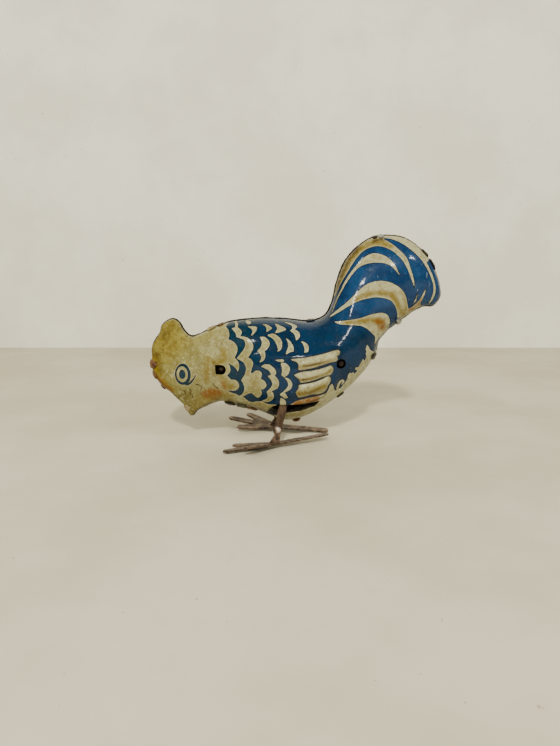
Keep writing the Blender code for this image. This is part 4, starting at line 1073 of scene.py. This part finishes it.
def seam_bead():
    """The rolled joint of the two halves: a thin dark bead, uneven from handling, all round the outline. Its
    dark tone is partly worn tin, partly painted shade of the gap between the halves.
    """
    path, out, _ = outline_frame()
    points = []
    for (px, pz), (ox, oz) in zip(path, out):
        spot = Vector((px, 0.0, pz))
        wide = 0.44 + 0.12 * noise.noise(spot * 0.5)
        proud = 0.42 + 0.16 * noise.noise(spot * 0.35) + 0.10 * noise.noise(spot * 1.4)
        shift = 0.10 * noise.noise(spot * 0.3 + Vector((40.0, 0.0, 0.0)))
        for k in range(BEAD_SECTION):
            turn = 2.0 * math.pi * k / BEAD_SECTION
            reach = proud * math.cos(turn) if math.cos(turn) > 0 else 0.35 * math.cos(turn)
            points.append((px + ox * reach, shift + wide * math.sin(turn), pz + oz * reach))
    faces = []
    for i in range(SEAM_STEPS):
        for k in range(BEAD_SECTION):
            a, b = i * BEAD_SECTION, (i + 1) % SEAM_STEPS * BEAD_SECTION
            after = (k + 1) % BEAD_SECTION
            faces.append((a + k, b + k, b + after, a + after))
    bead = add_mesh("seam_bead", points, faces, [bead_worn_and_shade_look])
    bead.data.shade_smooth()
    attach(bead, "body")


# ------------------------------------------------------------------ looks of each slot
RUST = (104, 62, 36)
looks = {
    "printed_tin": print_look(),
    "aged_tin": metal_look("aged_tin", (112, 92, 74), (66, 50, 38), (0.34, 0.6), (36, 22, 14), grain=1.3,
                           brushed=(1.0, 1.0, 0.5), metallic=0.75, stain_amount=0.06, bump=0.05),
    "steel": metal_look("steel", (170, 166, 160), (112, 108, 102), (0.28, 0.5), RUST,
                        brushed=(1.0, 3.0, 0.4), bump=0.02),
    "brass": metal_look("brass", (206, 168, 96), (150, 112, 56), (0.25, 0.5), (74, 56, 34),
                        brushed=(3.0, 1.0, 0.3), stain_amount=0.02, bump=0.02),
    "spring_steel": metal_look("spring_steel", (96, 102, 122), (52, 56, 70), (0.25, 0.42),
                               brushed=(0.4, 3.0, 0.4), bump=0.015),
    "plated_steel": metal_look("plated_steel", (206, 202, 194), (150, 146, 138), (0.16, 0.36), (110, 84, 56),
                               grain=1.1, brushed=(0.5, 2.5, 0.5), stain_amount=-0.02, bump=0.015),
}
bare_tin = metal_look("bare_tin", (120, 112, 98), (66, 58, 48), (0.4, 0.65), RUST, metallic=0.7,
                      stain_amount=0.04)
foot_look = metal_look("aged_foot", (128, 106, 87), (60, 45, 36), (0.34, 0.6), (42, 28, 20), grain=1.5,
                       metallic=0.6, stain_amount=0.05, bump=0.04)
# the rivet heads: worn plating, made pale as a painted glint
rivet_glint_look = metal_look("aged_rivet", (216, 206, 188), (120, 96, 74), (0.3, 0.55), (60, 40, 28), grain=1.6,
                        metallic=0.5, stain_amount=0.03, bump=0.04)
# the bead: dark worn tin, darkened further as painted shade in the seam's gap
bead_worn_and_shade_look = metal_look("seam_bead", (40, 32, 24), (20, 17, 14), (0.35, 0.6), (112, 92, 64), grain=1.1,
                       metallic=0.5, stain_amount=-0.01)
# the frame plates: brass painted near black, as painted shade inside the body that shows through the leg slot
brass_darkened_as_shade = metal_look("brass_darkened_as_shade", (42, 33, 22), (18, 14, 10), (0.6, 0.85), (20, 15, 12),
                        brushed=(3.0, 1.0, 0.3), metallic=0.8, stain_amount=0.06, bump=0.02)
stay_steel = metal_look("stay_steel", (58, 50, 40), (26, 22, 18), (0.45, 0.7), RUST, grain=1.4, metallic=0.6,
                        stain_amount=0.04)
TAB_TONES = {            # light and dark tone, roughness, stain, metallic, how far the stains spread
    "bright": ((206, 206, 198), (64, 60, 54), (0.3, 0.6), (26, 22, 20), 0.6, 0.08),
    "dark": ((46, 40, 34), (18, 16, 15), (0.35, 0.6), (92, 78, 60), 0.5, -0.02),
    "rusty": ((130, 92, 62), (60, 38, 26), (0.4, 0.65), (34, 24, 20), 0.45, 0.06),
    "green": ((76, 82, 50), (36, 38, 24), (0.35, 0.6), (58, 40, 22), 0.2, 0.08),
    "cream": ((176, 166, 128), (122, 104, 66), (0.35, 0.6), (40, 30, 22), 0.2, 0.08),
}
tab_looks = {
    key: metal_look("tab_" + key, *tones, grain=2.6, metallic=metallic, stain_amount=spread, bump=0.05)
    for key, (*tones, metallic, spread) in TAB_TONES.items()
}
for name, node in frame["nodes"].items():
    dim = stay_steel if name.endswith("_stay") else brass_darkened_as_shade if name.startswith("frame_plate") else None
    node.data.materials[0] = dim or looks[slot_of[name]]

# ------------------------------------------------------------------ the bird
grid_fine = shell_form(FINE_RIBS, FINE_ARCS)
for side_name, side in SIDES.items():
    shell = tin_shell("printed_shell_" + side_name, side, grid_fine, looks["printed_tin"], bare_tin)
    take_place(shell, "body_shell_" + side_name)
skin_tree = skin_surface()
seam_bead()
for *tab, look in TABS:
    seam_tab(*tab, tab_looks[look])
for side_name in SIDES:
    worn_copy("leg_" + side_name, looks["aged_tin"], 0.13, 0.07, 0.9)
    worn_copy("foot_" + side_name, foot_look, 0.15, 0.08, 0.8, -0.5)
    worn_copy("foot_rivet_" + side_name, rivet_glint_look, 0.10, 0.04, 1.0)
worn_copy("key_wing", looks["plated_steel"], 0.14, 0.03, 0.5)
worn_copy("key_barrel", looks["plated_steel"], 0.10, 0.02, 0.8)

# ------------------------------------------------------------------ stage, light and camera
def stage_sheet(name, corners, look):
    """A flat sheet of the stage, from its corners in metres."""
    mesh = bpy.data.meshes.new(name)
    mesh.from_pydata(corners, [], [tuple(range(len(corners)))])
    mesh.materials.append(look)
    sheet = bpy.data.objects.new(name, mesh)
    bpy.context.scene.collection.objects.link(sheet)


def plaster_look(name, light, dark):
    """Painted board: soft clouds of tone, faint marks and a fine uneven skin."""
    look = Look(name, Roughness=0.6, IOR=1.4)
    colour = look.mix(look.patches((0.012, 4.0, 0.6), 0.38, 0.62), light, dark)
    colour = look.mix(look.patches((0.11, 5.0, 0.65), 0.5, 0.75, 0.0, 0.35), colour, dark)
    colour = look.mix(look.patches((0.42, 2.0, 0.5), 0.735, 0.76, 0.0, 0.5), colour, paint(120, 106, 92))
    look.set("Base Color", colour)
    look.set("Normal", look.bump(look.noise(0.35, 5.0, 0.6), 0.12, 0.5))
    return look.material


WALL_BEHIND, FLOOR_HALF, WALL_HEIGHT = 0.255, 1.6, 1.8     # metres
wall_y = ORIGIN.y + WALL_BEHIND
wall_foot = [(FLOOR_HALF, wall_y, 0), (-FLOOR_HALF, wall_y, 0)]
stage_sheet("floor", [(-FLOOR_HALF, -FLOOR_HALF, 0), (FLOOR_HALF, -FLOOR_HALF, 0), *wall_foot],
            plaster_look("floor_board", paint(198, 193, 171), paint(186, 180, 156)))
wall_top = [(x, y, WALL_HEIGHT) for x, y, _ in wall_foot]
stage_sheet("wall", [*reversed(wall_foot), *wall_top],
            plaster_look("wall_board", paint(234, 232, 217), paint(222, 219, 203)))


def soft_light(name, place, size, power, colour):
    """A square soft box facing the bird. Only the glints show in the bird's gloss."""
    lamp = bpy.data.lights.new(name, "AREA")
    lamp.size = size
    lamp.energy = power
    lamp.color = colour
    box = bpy.data.objects.new(name, lamp)
    box.location = place
    box.rotation_euler = (world(*AIM) - Vector(place)).to_track_quat("-Z", "Y").to_euler()
    box.visible_glossy = name.startswith("glint")
    bpy.context.scene.collection.objects.link(box)


AIM = (0.0, 0.0, 30.0)                # the middle of the bird, in millimetres
LAMP, GLINT = (1.0, 0.95, 0.84), (1.0, 0.97, 0.9)
LIGHTS = (                            # name, place, size in metres, power in watts, colour
    ("key_light", (-0.05, -0.85, 0.68), 0.08, 13.0, LAMP),
    ("left_light", (-0.75, -0.45, 0.75), 0.3, 3.5, LAMP),
    ("right_light", (0.6, -0.5, 0.85), 0.3, 3.5, LAMP),
    ("glint_middle", (-0.01, -1.04, 0.38), 0.05, 1.2, GLINT),
    ("glint_left", (-0.4, -0.76, 0.73), 0.05, 0.9, GLINT),
    ("glint_right", (0.59, -0.75, 0.58), 0.05, 0.9, GLINT),
    ("glint_streak", (0.34, -0.98, 0.42), 0.06, 1.1, GLINT),
)
for light in LIGHTS:
    soft_light(*light)
backdrop = bpy.data.worlds.new("studio")
backdrop.use_nodes = True
glow = backdrop.node_tree.nodes["Background"].inputs
glow["Color"].default_value = (0.84, 0.81, 0.72, 1.0)
glow["Strength"].default_value = 0.3
bpy.context.scene.world = backdrop

SENSOR, LENS = 36.0, 27.12064            # height of the sensor and focal length, in millimetres
CAMERA_BACK, CAMERA_UP = 215.0, 66.3     # millimetres from the seam plane and above the design's floor
CAMERA_DOWN = 10.68                      # degrees that it looks down
camera = bpy.data.cameras.new("camera")
camera.sensor_fit = "VERTICAL"
camera.sensor_height = SENSOR
camera.lens = LENS
camera.clip_start = 0.01
eye = bpy.data.objects.new("camera", camera)
eye.location = world(0.0, -CAMERA_BACK, CAMERA_UP)
eye.rotation_euler = (math.radians(90.0 - CAMERA_DOWN), 0.0, 0.0)
bpy.context.scene.collection.objects.link(eye)
bpy.context.scene.camera = eye
